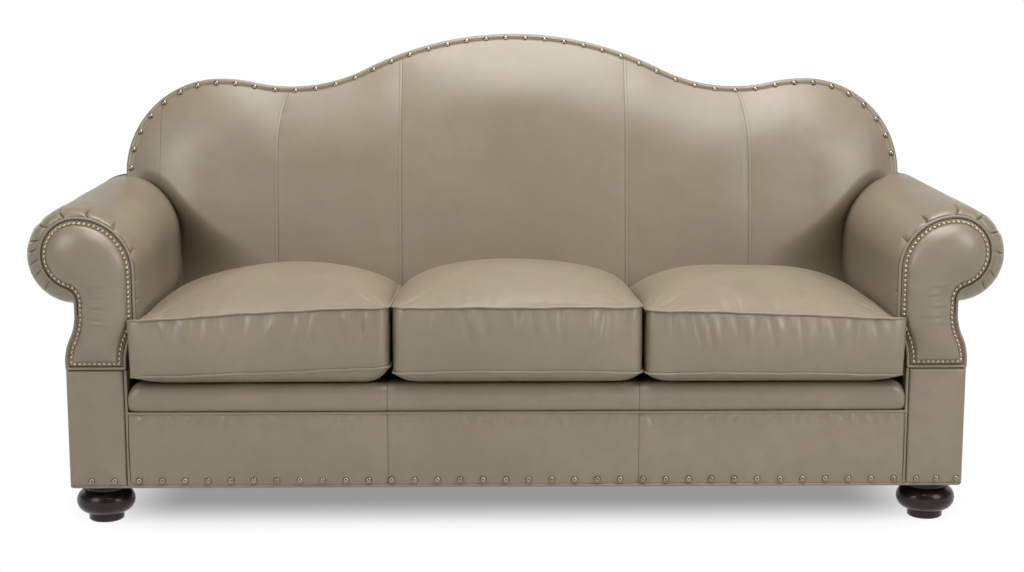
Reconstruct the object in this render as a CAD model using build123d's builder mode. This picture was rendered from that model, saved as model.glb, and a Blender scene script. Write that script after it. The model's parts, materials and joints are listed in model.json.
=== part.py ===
"""Camel-back leather sofa with rolled arms, nailed trim and three loose seat cushions.

The front faces -Y, up is +Z, and the origin is on the floor under the middle of the sofa.
"""

import os
from math import acos, atan, cos, degrees, pi, radians, sin, tan

from build123d import *

os.makedirs("parts", exist_ok=True)

# Driving dimensions, in millimetres and degrees: the whole sofa
OVERALL_WIDTH = 2150  # across the two arm rolls
FOOT_HEIGHT = 95  # floor to the underside of the frame
SEAT_DEPTH = 532  # arm fronts to the inside back, at deck height
RECLINE = 11  # lean of the back
FIT = 0.3  # clearance between covered faces
LEATHER = 3  # leather with its lining
WELT_DIAMETER = 7

# Arms
ARM_WIDTH = 241  # inner face to the outermost line of the roll
ARM_TOP = 712
ROLL_RADIUS = 106
WAIST_SET_IN = 106  # outermost line of the roll to the waist under it
CROOK_RADIUS = 14  # hollow where the roll turns down into the waist
WAIST_DROP = 6
ARM_FLARE = 32  # the inner wall steps out by this much beside the cushions
WAIST_FLARE = 24  # the outside steps out by this much below the waist
FLARE_HEIGHT = 106
RIM_DEPTH = 40  # rounded front of the roll
RIM_SHIFT = 11
RIM_TOP_DROP = 14
RIM_RADIUS_DROP = 21
RIM_CROOK = 24
RIM_STEPS = 4
FACING_THICKNESS = 12
FACING_SKIRT = 10
FACING_ROUND = 3
STUMP_THICKNESS = 25
ARM_PAD = 48  # padding on the inner wall
OUTER_PANEL_THICKNESS = 7
ARM_RAIL_WIDTH = 100
ARM_RAIL_THICKNESS = 25
ARM_RAIL_DROP = 75  # top of the roll to the underside of the arm rail

# Base
RAIL_TOP = 255
RAIL_THICKNESS = 25
CROSS_RAIL_HEIGHT = 120
PANEL_THICKNESS = 8
PANEL_SET_BACK = 4
DECK_TOP = 331  # at the arm fronts
DECK_SLOPE = 2
NOSING_LOW = 258  # middle of the welt under the nosing
NOSING_PROUD = 4
NOSING_DEPTH = 66
NOSING_ROUND = 24
COVER_LOW = 300  # foot of the inside arm covers
BACK_LOW = 290  # foot of the inside back cover
BLOCK_LEG = 150
BLOCK_HEIGHT = 55
DUST_THICKNESS = 2
DUST_SET_IN = 20

# Suspension
SPRING_COUNT = 12
SPRING_WIRE = 4
SPRING_RUN = 30
SPRING_TURNS = 22
CLIP_HEIGHT = 8
CLIP_DEPTH = 14
CLIP_SET_IN = 13
CLOTH_THICKNESS = 2
STRAP_COUNT = 8
STRAP_WIDTH = 50
STRAP_THICKNESS = 2
STRAP_LAP = 40

# Back
CREST_HEIGHT = 1072
DIP_DROP = 130  # crest down to the dips
DIP_OFFSET = 556
SHOULDER_RISE = 19.5  # dips up to the shoulders
SHOULDER_OFFSET = 734
CREST_SHARE = 0.66  # part of each slope that belongs to the crest's own arc
BACK_SET_IN = 107  # side of the back to the outermost line of the roll
BACK_FOAM = 45
BACK_ROUND = 40
FRAME_THICKNESS = 60
OUTSIDE_THICKNESS = 8
LIP = 24  # width of the border on the front face
CREST_BAND = 90
CREST_FOOT = 730
POST_WIDTH = 80
TACK_LOW = 300
TACK_HEIGHT = 80
UPRIGHT_OFFSET = 300
UPRIGHT_WIDTH = 60

# Cushions
CUSHION_OVERHANG = 18
CUSHION_GAP = 2
BACK_CLEAR = 2
BOTTOM_DROP = 14  # lower welt above the deck
BOXING_HEIGHT = 152
CROWN = 56
CUSHION_CORNER = 30
DRAW_IN = 5
BOTTOM_SET_IN = 26
BOXING_BULGE = 2

# Feet and nails
FOOT_RADIUS = 65
FOOT_TOP_RADIUS = 50
FOOT_NECK_RADIUS = 45
FOOT_RING_RADIUS = 39
FRONT_FOOT_SET_BACK = 75
REAR_FOOT_SET_IN = 38
BOLT_RADIUS = 4
BOLT_FIT = 0.05
BOLT_DEPTH = 48
SMALL_NAIL_RADIUS = 4.8
SMALL_NAIL_DOME = 3
SMALL_NAIL_PITCH = 11
SMALL_NAIL_EDGE = 8
LARGE_NAIL_RADIUS = 6.5
LARGE_NAIL_DOME = 4
BACK_NAIL_PITCH = 46
BACK_NAIL_EDGE = 14
BASE_NAIL_PITCH = 50
BASE_NAIL_EDGE = 9
POST_NAIL_PITCH = 42
NAIL_LENGTH = 18
NAIL_SHANK_RADIUS = 1

# Worked out from the above
HALF_WIDTH = OVERALL_WIDTH / 2
ROLL_X = HALF_WIDTH - ROLL_RADIUS
ARM_IN = HALF_WIDTH - ARM_WIDTH
SEAT_HALF = ARM_IN + ARM_FLARE
WAIST_X = HALF_WIDTH - WAIST_SET_IN
LOWER_X = WAIST_X + WAIST_FLARE
WELT_ROOM = WELT_DIAMETER + 2 * FIT
UNDER_TURN = acos((WAIST_X + CROOK_RADIUS - ROLL_X) / (ROLL_RADIUS + CROOK_RADIUS))
WAIST_LOW = ARM_TOP - ROLL_RADIUS - (ROLL_RADIUS + CROOK_RADIUS) * sin(UNDER_TURN) - WAIST_DROP
FLARE_LOW = WAIST_LOW - FLARE_HEIGHT
FACING_LOW = FLARE_LOW - FACING_SKIRT
POST_IN = SEAT_HALF + WELT_ROOM
POST_OUT = LOWER_X - WELT_ROOM
PANEL_LOW = FOOT_HEIGHT + WELT_ROOM
RIM_START = FACING_THICKNESS - 2
STUMP_BACK = FACING_THICKNESS + STUMP_THICKNESS
SIDE_RAIL_IN = POST_OUT - RAIL_THICKNESS
LEAN = radians(RECLINE)
SLOPE = radians(DECK_SLOPE)
FRAME_DEPTH = LEATHER + BACK_FOAM
REAR_DEPTH = FRAME_DEPTH + FRAME_THICKNESS
BACK_HALF = HALF_WIDTH - BACK_SET_IN
BACK_FOOT = SEAT_DEPTH - DECK_TOP * tan(LEAN)
REACH = BACK_FOOT + CREST_HEIGHT * tan(LEAN) + (REAR_DEPTH + OUTSIDE_THICKNESS) * cos(LEAN)
OVERHANG = CUSHION_OVERHANG + WELT_ROOM
FACE_Y = (OVERHANG - REACH) / 2
FOOT_X = LOWER_X - FOOT_RADIUS
BLOCK_BACK = BACK_FOOT + FOOT_HEIGHT * tan(LEAN) + FRAME_DEPTH / cos(LEAN)
FRONT_FOOT_Y = FACE_Y + FRONT_FOOT_SET_BACK
REAR_FOOT_Y = FACE_Y + BLOCK_BACK - REAR_FOOT_SET_IN
FAR = 2 * OVERALL_WIDTH


def front_plane(depth):
    """Upright plane that faces the front, a depth behind the arm fronts."""
    return Plane.XZ.offset(-(FACE_Y + depth))


def back_plane(depth):
    """Leaning plane parallel to the inside back, a depth behind its face; its foot is on the floor."""
    foot = (0, FACE_Y + BACK_FOOT + depth * cos(LEAN), -depth * sin(LEAN))
    return Plane(origin=foot, x_dir=(1, 0, 0), z_dir=(0, -cos(LEAN), sin(LEAN)))


def deck_plane(height):
    """Plane parallel to the sloping seat deck, a height above it."""
    start = (0, FACE_Y + height * sin(SLOPE), DECK_TOP + height * cos(SLOPE))
    return Plane(origin=start, x_dir=(1, 0, 0), z_dir=(0, sin(SLOPE), cos(SLOPE)))


def deck_height(depth):
    """Height of the deck's top at a depth behind the arm fronts."""
    return DECK_TOP - depth * tan(SLOPE)


def up(height):
    """Length along the leaning back that reaches a height."""
    return height / cos(LEAN)


def ess(start, heading, run, shift, inset, side, share=0.5):
    """Two tangent arcs that step a line sideways; side 1 steps left, inset lies to the right."""
    total = (run**2 + shift**2) / (2 * shift)
    turn = 2 * degrees(atan(shift / run))
    first = JernArc(start, heading, share * total + side * inset, side * turn)
    return JernArc(first @ 1, first % 1, (1 - share) * total - side * inset, -side * turn)


def arm_inside(roll_x, top, inset, low):
    """Inner wall of an arm, its flare and the arc that climbs to the top of the roll."""
    wall = Line((SEAT_HALF + inset, low), (SEAT_HALF + inset, FLARE_LOW))
    flare = ess(wall @ 1, (0, 1), FLARE_HEIGHT, ARM_FLARE, inset, 1)
    rise = Line(flare @ 1, (ARM_IN + inset, top - roll_x + ARM_IN))
    return JernArc(rise @ 1, (0, 1), roll_x - ARM_IN - inset, -90)


def arm_curve(roll_x, top, radius, crook, inset, low):
    """Open outline of an arm: inner wall, over the roll, through the crook and down to the waist."""
    climb = arm_inside(roll_x, top, inset, low)
    under = degrees(acos((WAIST_X + crook - roll_x) / (radius + crook)))
    roll = JernArc(climb @ 1, (1, 0), radius - inset, -90 - under)
    hook = JernArc(roll @ 1, roll % 1, crook + inset, under)
    return Line(hook @ 1, (WAIST_X - inset, WAIST_LOW))


def arm_outside(inset, low):
    """Outside of an arm from the waist, through its flare, down to a height."""
    flare = ess((WAIST_X - inset, WAIST_LOW), (0, -1), FLARE_HEIGHT, WAIST_FLARE, inset, 1)
    return Line(flare @ 1, (LOWER_X - inset, low))


def facing_outline(inset, low):
    """Closed outline of the scroll on an arm front, set in by one welt and an inset."""
    edge = WELT_ROOM + inset
    arm_curve(
        ROLL_X - RIM_SHIFT,
        ARM_TOP - RIM_TOP_DROP,
        ROLL_RADIUS - RIM_RADIUS_DROP,
        RIM_CROOK,
        edge,
        low,
    )
    foot = arm_outside(edge, low)
    Line(foot @ 1, (SEAT_HALF + edge, low))


def arm_solid(inset, over):
    """Roll and inner wall of the right arm with its rounded front, moved inwards by inset."""
    with BuildPart() as body:
        for step in range(RIM_STEPS + 1):
            angle = pi / 2 * step / RIM_STEPS
            rest = 1 - sin(angle)
            with BuildSketch(front_plane(RIM_START + inset + RIM_DEPTH * (1 - cos(angle)))):
                with BuildLine():
                    waist = arm_curve(
                        ROLL_X - RIM_SHIFT * rest,
                        ARM_TOP - RIM_TOP_DROP * rest,
                        ROLL_RADIUS - RIM_RADIUS_DROP * rest,
                        CROOK_RADIUS + (RIM_CROOK - CROOK_RADIUS) * rest,
                        inset,
                        COVER_LOW - over,
                    )
                    Polyline(
                        waist @ 1,
                        (WAIST_X - inset, WAIST_LOW - over - FIT),
                        (SEAT_HALF + ARM_PAD + over, WAIST_LOW - over - FIT),
                        (SEAT_HALF + ARM_PAD + over, COVER_LOW - over),
                        (SEAT_HALF + inset, COVER_LOW - over),
                    )
                make_face()
        loft(ruled=True)
        extrude(body.faces().sort_by(Axis.Y)[-1], amount=FAR)
        split(bisect_by=back_plane(REAR_DEPTH - FIT), keep=Keep.TOP)
    return body.part


def camel_curve(inset, low):
    """Outline of the back without its foot, moved inwards by inset."""
    crest = (0, up(CREST_HEIGHT) - inset)
    fall = ess(crest, (1, 0), DIP_OFFSET, up(DIP_DROP), inset, -1, CREST_SHARE)
    rise = ess(fall @ 1, (1, 0), SHOULDER_OFFSET - DIP_OFFSET, up(SHOULDER_RISE), inset, 1)
    corner = JernArc(rise @ 1, (1, 0), BACK_HALF - SHOULDER_OFFSET - inset, -90)
    side = Line(corner @ 1, (BACK_HALF - inset, low))
    mirror(about=Plane.YZ)
    return side


def camel_outline(inset, low):
    """Closed outline of the back, moved inwards by inset, down to a length along the lean."""
    side = camel_curve(inset, low)
    Line(side @ 1, (inset - BACK_HALF, low))


def padded_back(inset, near, far, round_radius):
    """Block with the back's outline and a rounded front edge, between two depths."""
    with BuildPart() as block:
        with BuildSketch(back_plane(near)):
            with BuildLine():
                camel_outline(inset, up(BACK_LOW))
            make_face()
        extrude(amount=near - far)
        forward = Axis((0, 0, 0), back_plane(0).z_dir)
        rim = block.faces().sort_by(forward)[-1].edges().sort_by(Axis.Z)[1:]
        fillet(rim, round_radius)
        add(arm_room.part, mode=Mode.SUBTRACT)
        mirror(arm_room.part, about=Plane.YZ, mode=Mode.SUBTRACT)
    return block.part


def nail(radius, dome):
    """Domed nail along +Z with its head's rim at the origin's height."""
    with BuildPart() as one:
        with BuildSketch(Plane.XZ):
            with BuildLine():
                ThreePointArc((0, dome), (radius * 0.72, dome * 0.62), (radius, 0))
                Polyline(
                    (radius, 0),
                    (NAIL_SHANK_RADIUS, 0),
                    (NAIL_SHANK_RADIUS, 2 - NAIL_LENGTH),
                    (0, -NAIL_LENGTH),
                    (0, dome),
                )
            make_face()
        revolve(axis=Axis.Z)
    return one.part


def cushion_section(left, right, height, inset):
    """Plan of a cushion at a height above the deck: four drawn-in sides with rounded corners."""
    rear_lean = LEAN - SLOPE
    rear = (SEAT_DEPTH - BACK_CLEAR) * cos(LEAN) / cos(rear_lean) + height * tan(rear_lean)
    x0 = left + WELT_ROOM + inset
    x1 = right - WELT_ROOM - inset
    y0 = inset - CUSHION_OVERHANG
    y1 = rear - WELT_ROOM - inset
    xm = (x0 + x1) / 2
    ym = (y0 + y1) / 2
    with BuildSketch(deck_plane(height)) as plan:
        with BuildLine():
            ThreePointArc((x0, y0), (xm, y0 + DRAW_IN), (x1, y0))
            ThreePointArc((x1, y0), (x1 - DRAW_IN, ym), (x1, y1))
            ThreePointArc((x1, y1), (xm, y1 - DRAW_IN), (x0, y1))
            ThreePointArc((x0, y1), (x0 + DRAW_IN, ym), (x0, y0))
        make_face()
        fillet(plan.vertices(), CUSHION_CORNER)
    return plan.sketch


def cushion_solid(left, right, skin):
    """Box cushion with a crowned top, moved inwards by a skin thickness."""
    top = BOTTOM_DROP + BOXING_HEIGHT
    width = right - left
    bottom = cushion_section(left, right, FIT + skin, BOTTOM_SET_IN + skin)
    lower = cushion_section(left, right, BOTTOM_DROP, skin)
    middle = cushion_section(left, right, (BOTTOM_DROP + top) / 2, skin - BOXING_BULGE)
    upper = cushion_section(left, right, top, skin)
    crown = [upper]
    for rise, set_in in ((0.36, 0.04), (0.66, 0.11), (0.88, 0.21), (1, 0.34)):
        height = top + rise * (CROWN - skin)
        crown.append(cushion_section(left, right, height, skin + set_in * width))
    with BuildPart() as body:
        loft([bottom, lower], ruled=True)
        loft([lower, middle, upper])
        loft(crown)
    return body.part


def cushion_welts(left, right):
    """Paths of the two welts round a cushion's boxing."""
    reach = -WELT_ROOM / 2
    low = cushion_section(left, right, BOTTOM_DROP, reach)
    high = cushion_section(left, right, BOTTOM_DROP + BOXING_HEIGHT, reach)
    return [low.face().outer_wire(), high.face().outer_wire()]


def welt_along(path):
    """Round welt swept along a path."""
    with BuildPart() as cord:
        with BuildSketch(Plane(origin=path @ 0, z_dir=path % 0)):
            Circle(WELT_DIAMETER / 2)
        sweep(path=path)
    return cord.part


def save(part, name):
    """Label a finished piece and write its file."""
    part.label = name
    export_step(part, f"parts/{name}.step")


def save_pair(part, name):
    """Write a right-hand piece and its left-hand mirror image."""
    with BuildPart() as other:
        mirror(part, about=Plane.YZ)
    save(part, f"right_{name}")
    save(other.part, f"left_{name}")


# Room that the arms take out of the back: everything below the upper face of each roll
with BuildPart() as arm_room:
    with BuildSketch(front_plane(-RIM_DEPTH)):
        with BuildLine():
            climb = arm_inside(ROLL_X, ARM_TOP, -FIT, 0)
            shoulder = JernArc(climb @ 1, (1, 0), ROLL_RADIUS + FIT, -90)
            Polyline(
                shoulder @ 1,
                (OVERALL_WIDTH, ARM_TOP - ROLL_RADIUS),
                (OVERALL_WIDTH, 0),
                (SEAT_HALF - FIT, 0),
            )
        make_face()
    extrude(amount=-FAR)

# Seat frame
with BuildPart() as front_rail:
    with BuildSketch(front_plane(FACING_THICKNESS)):
        with Locations((0, (FOOT_HEIGHT + RAIL_TOP) / 2)):
            Rectangle(2 * POST_IN, RAIL_TOP - FOOT_HEIGHT)
    extrude(amount=-RAIL_THICKNESS)
save(front_rail.part, "front_rail")

with BuildPart() as right_side_rail:
    with BuildSketch(front_plane(STUMP_BACK)):
        with Locations((POST_OUT - RAIL_THICKNESS / 2, (FOOT_HEIGHT + RAIL_TOP) / 2)):
            Rectangle(RAIL_THICKNESS, RAIL_TOP - FOOT_HEIGHT)
    extrude(amount=-FAR)
    split(bisect_by=back_plane(REAR_DEPTH), keep=Keep.TOP)
save_pair(right_side_rail.part, "side_rail")

with BuildPart() as right_back_post:
    with BuildSketch(back_plane(FRAME_DEPTH)):
        with Locations((SIDE_RAIL_IN - POST_WIDTH / 2, up(CREST_FOOT))):
            Rectangle(POST_WIDTH, 2 * up(CREST_FOOT))
    extrude(amount=-FRAME_THICKNESS)
    split(bisect_by=Plane.XY.offset(FOOT_HEIGHT), keep=Keep.TOP)
    split(bisect_by=Plane.XY.offset(CREST_FOOT), keep=Keep.BOTTOM)
save_pair(right_back_post.part, "back_post")

with BuildPart() as rear_rail:
    with BuildSketch(back_plane(FRAME_DEPTH)):
        with Locations((0, up(RAIL_TOP))):
            Rectangle(2 * (SIDE_RAIL_IN - POST_WIDTH), 2 * up(RAIL_TOP))
    extrude(amount=-FRAME_THICKNESS)
    split(bisect_by=Plane.XY.offset(FOOT_HEIGHT), keep=Keep.TOP)
    split(bisect_by=Plane.XY.offset(RAIL_TOP), keep=Keep.BOTTOM)
save(rear_rail.part, "rear_rail")

CUSHION_CELL = 2 * (ARM_IN - CUSHION_GAP) / 3
with BuildPart() as cross_rails:
    with BuildSketch(front_plane(STUMP_BACK)):
        with Locations((0, RAIL_TOP - RAIL_THICKNESS - CROSS_RAIL_HEIGHT / 2)):
            with GridLocations(CUSHION_CELL, 0, 2, 1):
                Rectangle(RAIL_THICKNESS, CROSS_RAIL_HEIGHT)
    extrude(amount=-FAR)
    split(bisect_by=back_plane(FRAME_DEPTH), keep=Keep.TOP)
save(cross_rails.part, "cross_rails")

with BuildPart() as corner_blocks:
    front_y = FACE_Y + STUMP_BACK
    rear_y = FACE_Y + BLOCK_BACK + BLOCK_HEIGHT
    with BuildSketch(Plane.XY.offset(FOOT_HEIGHT)):
        with BuildLine():
            Polyline(
                (SIDE_RAIL_IN, front_y),
                (SIDE_RAIL_IN, front_y + BLOCK_LEG),
                (SIDE_RAIL_IN - BLOCK_LEG, front_y),
                close=True,
            )
        make_face()
        with BuildLine():
            Polyline(
                (SIDE_RAIL_IN, rear_y),
                (SIDE_RAIL_IN, rear_y - BLOCK_LEG - BLOCK_HEIGHT),
                (SIDE_RAIL_IN - BLOCK_LEG - BLOCK_HEIGHT, rear_y),
                close=True,
            )
        make_face()
        with Locations((FOOT_X, FRONT_FOOT_Y), (FOOT_X, REAR_FOOT_Y)):
            Circle(BOLT_RADIUS + BOLT_FIT, mode=Mode.SUBTRACT)
        mirror(about=Plane.YZ)
    extrude(amount=BLOCK_HEIGHT)
    split(bisect_by=back_plane(FRAME_DEPTH), keep=Keep.TOP)
save(corner_blocks.part, "corner_blocks")

# Arm frames
with BuildPart() as right_arm_stump:
    with BuildSketch(front_plane(FACING_THICKNESS)):
        with BuildLine():
            facing_outline(0, FOOT_HEIGHT)
        make_face()
    extrude(amount=-STUMP_THICKNESS)
save_pair(right_arm_stump.part, "arm_stump")

with BuildPart() as right_arm_rail:
    with BuildSketch(front_plane(STUMP_BACK)):
        with Locations((ROLL_X - RIM_SHIFT, ARM_TOP - ARM_RAIL_DROP + ARM_RAIL_THICKNESS / 2)):
            Rectangle(ARM_RAIL_WIDTH, ARM_RAIL_THICKNESS)
    extrude(amount=-FAR)
    split(bisect_by=back_plane(FRAME_DEPTH), keep=Keep.TOP)
save_pair(right_arm_rail.part, "arm_rail")

# Back frame
with BuildPart() as back_tack_rail:
    with BuildSketch(back_plane(FRAME_DEPTH)):
        with Locations((0, up(TACK_LOW + TACK_HEIGHT / 2))):
            Rectangle(2 * (SIDE_RAIL_IN - POST_WIDTH), up(TACK_HEIGHT))
    extrude(amount=-FRAME_THICKNESS)
save(back_tack_rail.part, "back_tack_rail")

with BuildPart() as crest_rail:
    with BuildSketch(back_plane(FRAME_DEPTH)):
        with BuildLine():
            camel_outline(LEATHER + FIT, 0)
        make_face()
    extrude(amount=-FRAME_THICKNESS)
    split(bisect_by=Plane.XY.offset(CREST_FOOT), keep=Keep.TOP)
    with BuildSketch(back_plane(FRAME_DEPTH)):
        with BuildLine():
            camel_outline(LEATHER + FIT + CREST_BAND, 0)
        make_face()
    extrude(amount=-FRAME_THICKNESS, mode=Mode.SUBTRACT)
save(crest_rail.part, "crest_rail")

with BuildPart() as back_uprights:
    upright_foot = up(TACK_LOW + TACK_HEIGHT)
    with BuildSketch(back_plane(FRAME_DEPTH)):
        with Locations((0, upright_foot + up(CREST_HEIGHT) / 2)):
            with GridLocations(2 * UPRIGHT_OFFSET, 0, 2, 1):
                Rectangle(UPRIGHT_WIDTH, up(CREST_HEIGHT))
    extrude(amount=-FRAME_THICKNESS)
    with BuildSketch(back_plane(FRAME_DEPTH)):
        with BuildLine():
            camel_outline(LEATHER + FIT + CREST_BAND, 0)
        make_face()
    extrude(amount=-FRAME_THICKNESS, mode=Mode.INTERSECT)
save(back_uprights.part, "back_uprights")

with BuildPart() as back_webbing:
    strap_foot = up(TACK_LOW + TACK_HEIGHT) - STRAP_LAP
    strap_pitch = 2 * ARM_IN / (STRAP_COUNT + 1)
    with BuildSketch(back_plane(FRAME_DEPTH - STRAP_THICKNESS)):
        with Locations((0, strap_foot + up(CREST_HEIGHT) / 2)):
            with GridLocations(strap_pitch, 0, STRAP_COUNT, 1):
                Rectangle(STRAP_WIDTH, up(CREST_HEIGHT))
    extrude(amount=-STRAP_THICKNESS)
    with BuildSketch(back_plane(FRAME_DEPTH - STRAP_THICKNESS)):
        with BuildLine():
            camel_outline(LEATHER + FIT + CREST_BAND - STRAP_LAP, 0)
        make_face()
    extrude(amount=-STRAP_THICKNESS, mode=Mode.INTERSECT)
save(back_webbing.part, "back_webbing")

# Seat suspension
WIRE_Z = RAIL_TOP + CLIP_HEIGHT / 2
SPRING_FRONT = FACE_Y + FACING_THICKNESS + CLIP_SET_IN
SPRING_BACK = FACE_Y + BACK_FOOT + RAIL_TOP * tan(LEAN) + FRAME_DEPTH / cos(LEAN) + CLIP_SET_IN
SPRING_PITCH = (SPRING_BACK - SPRING_FRONT) / SPRING_TURNS
SPRING_SPACING = 2 * SEAT_HALF / SPRING_COUNT
with BuildPart() as one_spring:
    with BuildLine(Plane.XY.offset(WIRE_Z)) as zigzag:
        end = (-SPRING_RUN / 2, SPRING_FRONT)
        for turn in range(SPRING_TURNS):
            side = 1 if turn % 2 == 0 else -1
            run = Line(end, (side * SPRING_RUN / 2, SPRING_FRONT + turn * SPRING_PITCH))
            bend = JernArc(run @ 1, (side, 0), SPRING_PITCH / 2, side * 180)
            end = bend @ 1
        Line(end, (-end.X, end.Y))
    with BuildSketch(Plane(origin=zigzag.line @ 0, z_dir=zigzag.line % 0)):
        Circle(SPRING_WIRE / 2)
    sweep()

with BuildPart() as seat_springs:
    with GridLocations(SPRING_SPACING, 0, SPRING_COUNT, 1):
        add(one_spring.part)
save(seat_springs.part, "seat_springs")

with BuildPart() as spring_clips:
    for clip_y in (SPRING_FRONT, SPRING_BACK):
        with Locations((0, clip_y, WIRE_Z)):
            with GridLocations(SPRING_SPACING, 0, SPRING_COUNT, 1):
                Box(SPRING_RUN - SPRING_WIRE, CLIP_DEPTH, CLIP_HEIGHT)
                Cylinder(
                    SPRING_WIRE / 2 + BOLT_FIT, SPRING_RUN, rotation=(0, 90, 0), mode=Mode.SUBTRACT
                )
save(spring_clips.part, "spring_clips")

CLOTH_LOW = RAIL_TOP + CLIP_HEIGHT + FIT
with BuildPart() as spring_cover:
    with BuildSketch(Plane.XY.offset(CLOTH_LOW)):
        with Locations((0, FACE_Y + FACING_THICKNESS)):
            Rectangle(2 * (SEAT_HALF - FIT), FAR, align=(Align.CENTER, Align.MIN))
    extrude(amount=CLOTH_THICKNESS)
    split(bisect_by=back_plane(REAR_DEPTH - FIT), keep=Keep.TOP)
save(spring_cover.part, "spring_cover")

PAD_LOW = CLOTH_LOW + CLOTH_THICKNESS + FIT
PAD_FRONT = NOSING_DEPTH + FIT
with BuildPart() as seat_deck:
    with BuildSketch(Plane.YZ):
        with BuildLine():
            Polyline(
                (FACE_Y + PAD_FRONT, PAD_LOW),
                (FACE_Y + FAR, PAD_LOW),
                (FACE_Y + FAR, PAD_LOW + FIT),
                (FACE_Y + 2 * SEAT_DEPTH, deck_height(2 * SEAT_DEPTH)),
                (FACE_Y + PAD_FRONT, deck_height(PAD_FRONT)),
                close=True,
            )
        make_face()
    extrude(amount=SEAT_HALF - FIT, both=True)
    split(bisect_by=back_plane(-FIT), keep=Keep.TOP)
save(seat_deck.part, "seat_deck")

# Arm padding, covers and panels
roll_outer = arm_solid(0, 0)
roll_inner = arm_solid(LEATHER, LEATHER)
roll_padding = arm_solid(LEATHER + FIT, 0)

with BuildPart() as stump_room:
    with BuildSketch(front_plane(0)):
        with BuildLine():
            facing_outline(-FIT, FOOT_HEIGHT)
        make_face()
    extrude(amount=-STUMP_BACK - FIT)

with BuildPart() as right_arm_cover:
    add(roll_outer)
    add(roll_inner, mode=Mode.SUBTRACT)
    add(stump_room.part, mode=Mode.SUBTRACT)
    add(right_back_post.part, mode=Mode.SUBTRACT)
    add(back_tack_rail.part, mode=Mode.SUBTRACT)
save_pair(right_arm_cover.part, "arm_cover")

with BuildPart() as right_arm_padding:
    add(roll_padding)
    add(stump_room.part, mode=Mode.SUBTRACT)
    add(right_arm_rail.part, mode=Mode.SUBTRACT)
    add(right_back_post.part, mode=Mode.SUBTRACT)
    add(back_tack_rail.part, mode=Mode.SUBTRACT)
save_pair(right_arm_padding.part, "arm_padding")

with BuildPart() as right_outer_arm_panel:
    with BuildSketch(front_plane(RIM_START)):
        with BuildLine():
            outer = arm_outside(0, PANEL_LOW)
            inner = arm_outside(OUTER_PANEL_THICKNESS, PANEL_LOW)
            Line((WAIST_X, WAIST_LOW), (WAIST_X - OUTER_PANEL_THICKNESS, WAIST_LOW))
            Line(outer @ 1, inner @ 1)
        make_face()
    extrude(amount=-FAR)
    split(bisect_by=back_plane(REAR_DEPTH - FIT), keep=Keep.TOP)
    split(bisect_by=Plane.XY.offset(WAIST_LOW - 2 * FIT), keep=Keep.BOTTOM)
    add(stump_room.part, mode=Mode.SUBTRACT)
save_pair(right_outer_arm_panel.part, "outer_arm_panel")

with BuildPart() as right_arm_facing:
    with BuildSketch(front_plane(0)):
        with BuildLine():
            facing_outline(0, FACING_LOW)
        make_face()
    extrude(amount=-FACING_THICKNESS)
    fillet(right_arm_facing.faces().sort_by(Axis.Y)[0].edges(), FACING_ROUND)
save_pair(right_arm_facing.part, "arm_facing")

with BuildPart() as right_post_panel:
    with BuildSketch(front_plane(0)):
        with Locations(((POST_IN + POST_OUT) / 2, (PANEL_LOW + FACING_LOW - WELT_ROOM) / 2)):
            Rectangle(POST_OUT - POST_IN, FACING_LOW - WELT_ROOM - PANEL_LOW)
    extrude(amount=-FACING_THICKNESS)
    fillet(right_post_panel.faces().sort_by(Axis.Y)[0].edges(), FACING_ROUND)
save_pair(right_post_panel.part, "post_panel")

WELT_DEPTH = FACING_THICKNESS / 2
with BuildSketch(front_plane(WELT_DEPTH)) as facing_rim:
    with BuildLine():
        facing_outline(-WELT_ROOM / 2, FACING_LOW - WELT_ROOM / 2)
    make_face()
    fillet(facing_rim.vertices().group_by(Axis.Y)[0], WELT_DIAMETER)
save_pair(welt_along(facing_rim.sketch.face().outer_wire()), "facing_welt")

small_nail = nail(SMALL_NAIL_RADIUS, SMALL_NAIL_DOME)
with BuildSketch(front_plane(0)) as facing_nailing:
    with BuildLine():
        facing_outline(SMALL_NAIL_EDGE, FACING_LOW + SMALL_NAIL_EDGE)
    make_face()
nail_line = facing_nailing.sketch.face().outer_wire()
nail_count = round(nail_line.length / SMALL_NAIL_PITCH)
with BuildPart() as right_arm_nails:
    with Locations([Pos(nail_line @ (i / nail_count)) for i in range(nail_count)]):
        add(small_nail, rotation=(90, 0, 0))
save_pair(right_arm_nails.part, "arm_nails")

# Inside back, border and outside back
cover_edge = LIP + FIT
cover_outer = padded_back(cover_edge, 0, FRAME_DEPTH, BACK_ROUND)
cover_inner = padded_back(cover_edge + LEATHER, LEATHER, REAR_DEPTH, BACK_ROUND - LEATHER)
with BuildPart() as back_cover:
    add(cover_outer)
    add(cover_inner, mode=Mode.SUBTRACT)
save(back_cover.part, "back_cover")

padding_edge = cover_edge + LEATHER + FIT
padding_back = FRAME_DEPTH - STRAP_THICKNESS - FIT
padding_round = BACK_ROUND - LEATHER - FIT
back_padding = padded_back(padding_edge, LEATHER + FIT, padding_back, padding_round)
save(back_padding, "back_padding")

with BuildPart() as back_border:
    with BuildSketch(back_plane(FRAME_DEPTH - LEATHER)):
        with BuildLine():
            camel_outline(0, up(COVER_LOW))
        make_face()
    extrude(amount=-LEATHER - FRAME_THICKNESS)
    with BuildSketch(back_plane(FRAME_DEPTH)):
        with BuildLine():
            camel_outline(LEATHER, 0)
        make_face()
    extrude(amount=-FRAME_THICKNESS, mode=Mode.SUBTRACT)
    with BuildSketch(back_plane(FRAME_DEPTH - LEATHER)):
        with BuildLine():
            camel_outline(LIP, 0)
        make_face()
    extrude(amount=-LEATHER, mode=Mode.SUBTRACT)
    add(arm_room.part, mode=Mode.SUBTRACT)
    mirror(arm_room.part, about=Plane.YZ, mode=Mode.SUBTRACT)
save(back_border.part, "back_border")

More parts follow.
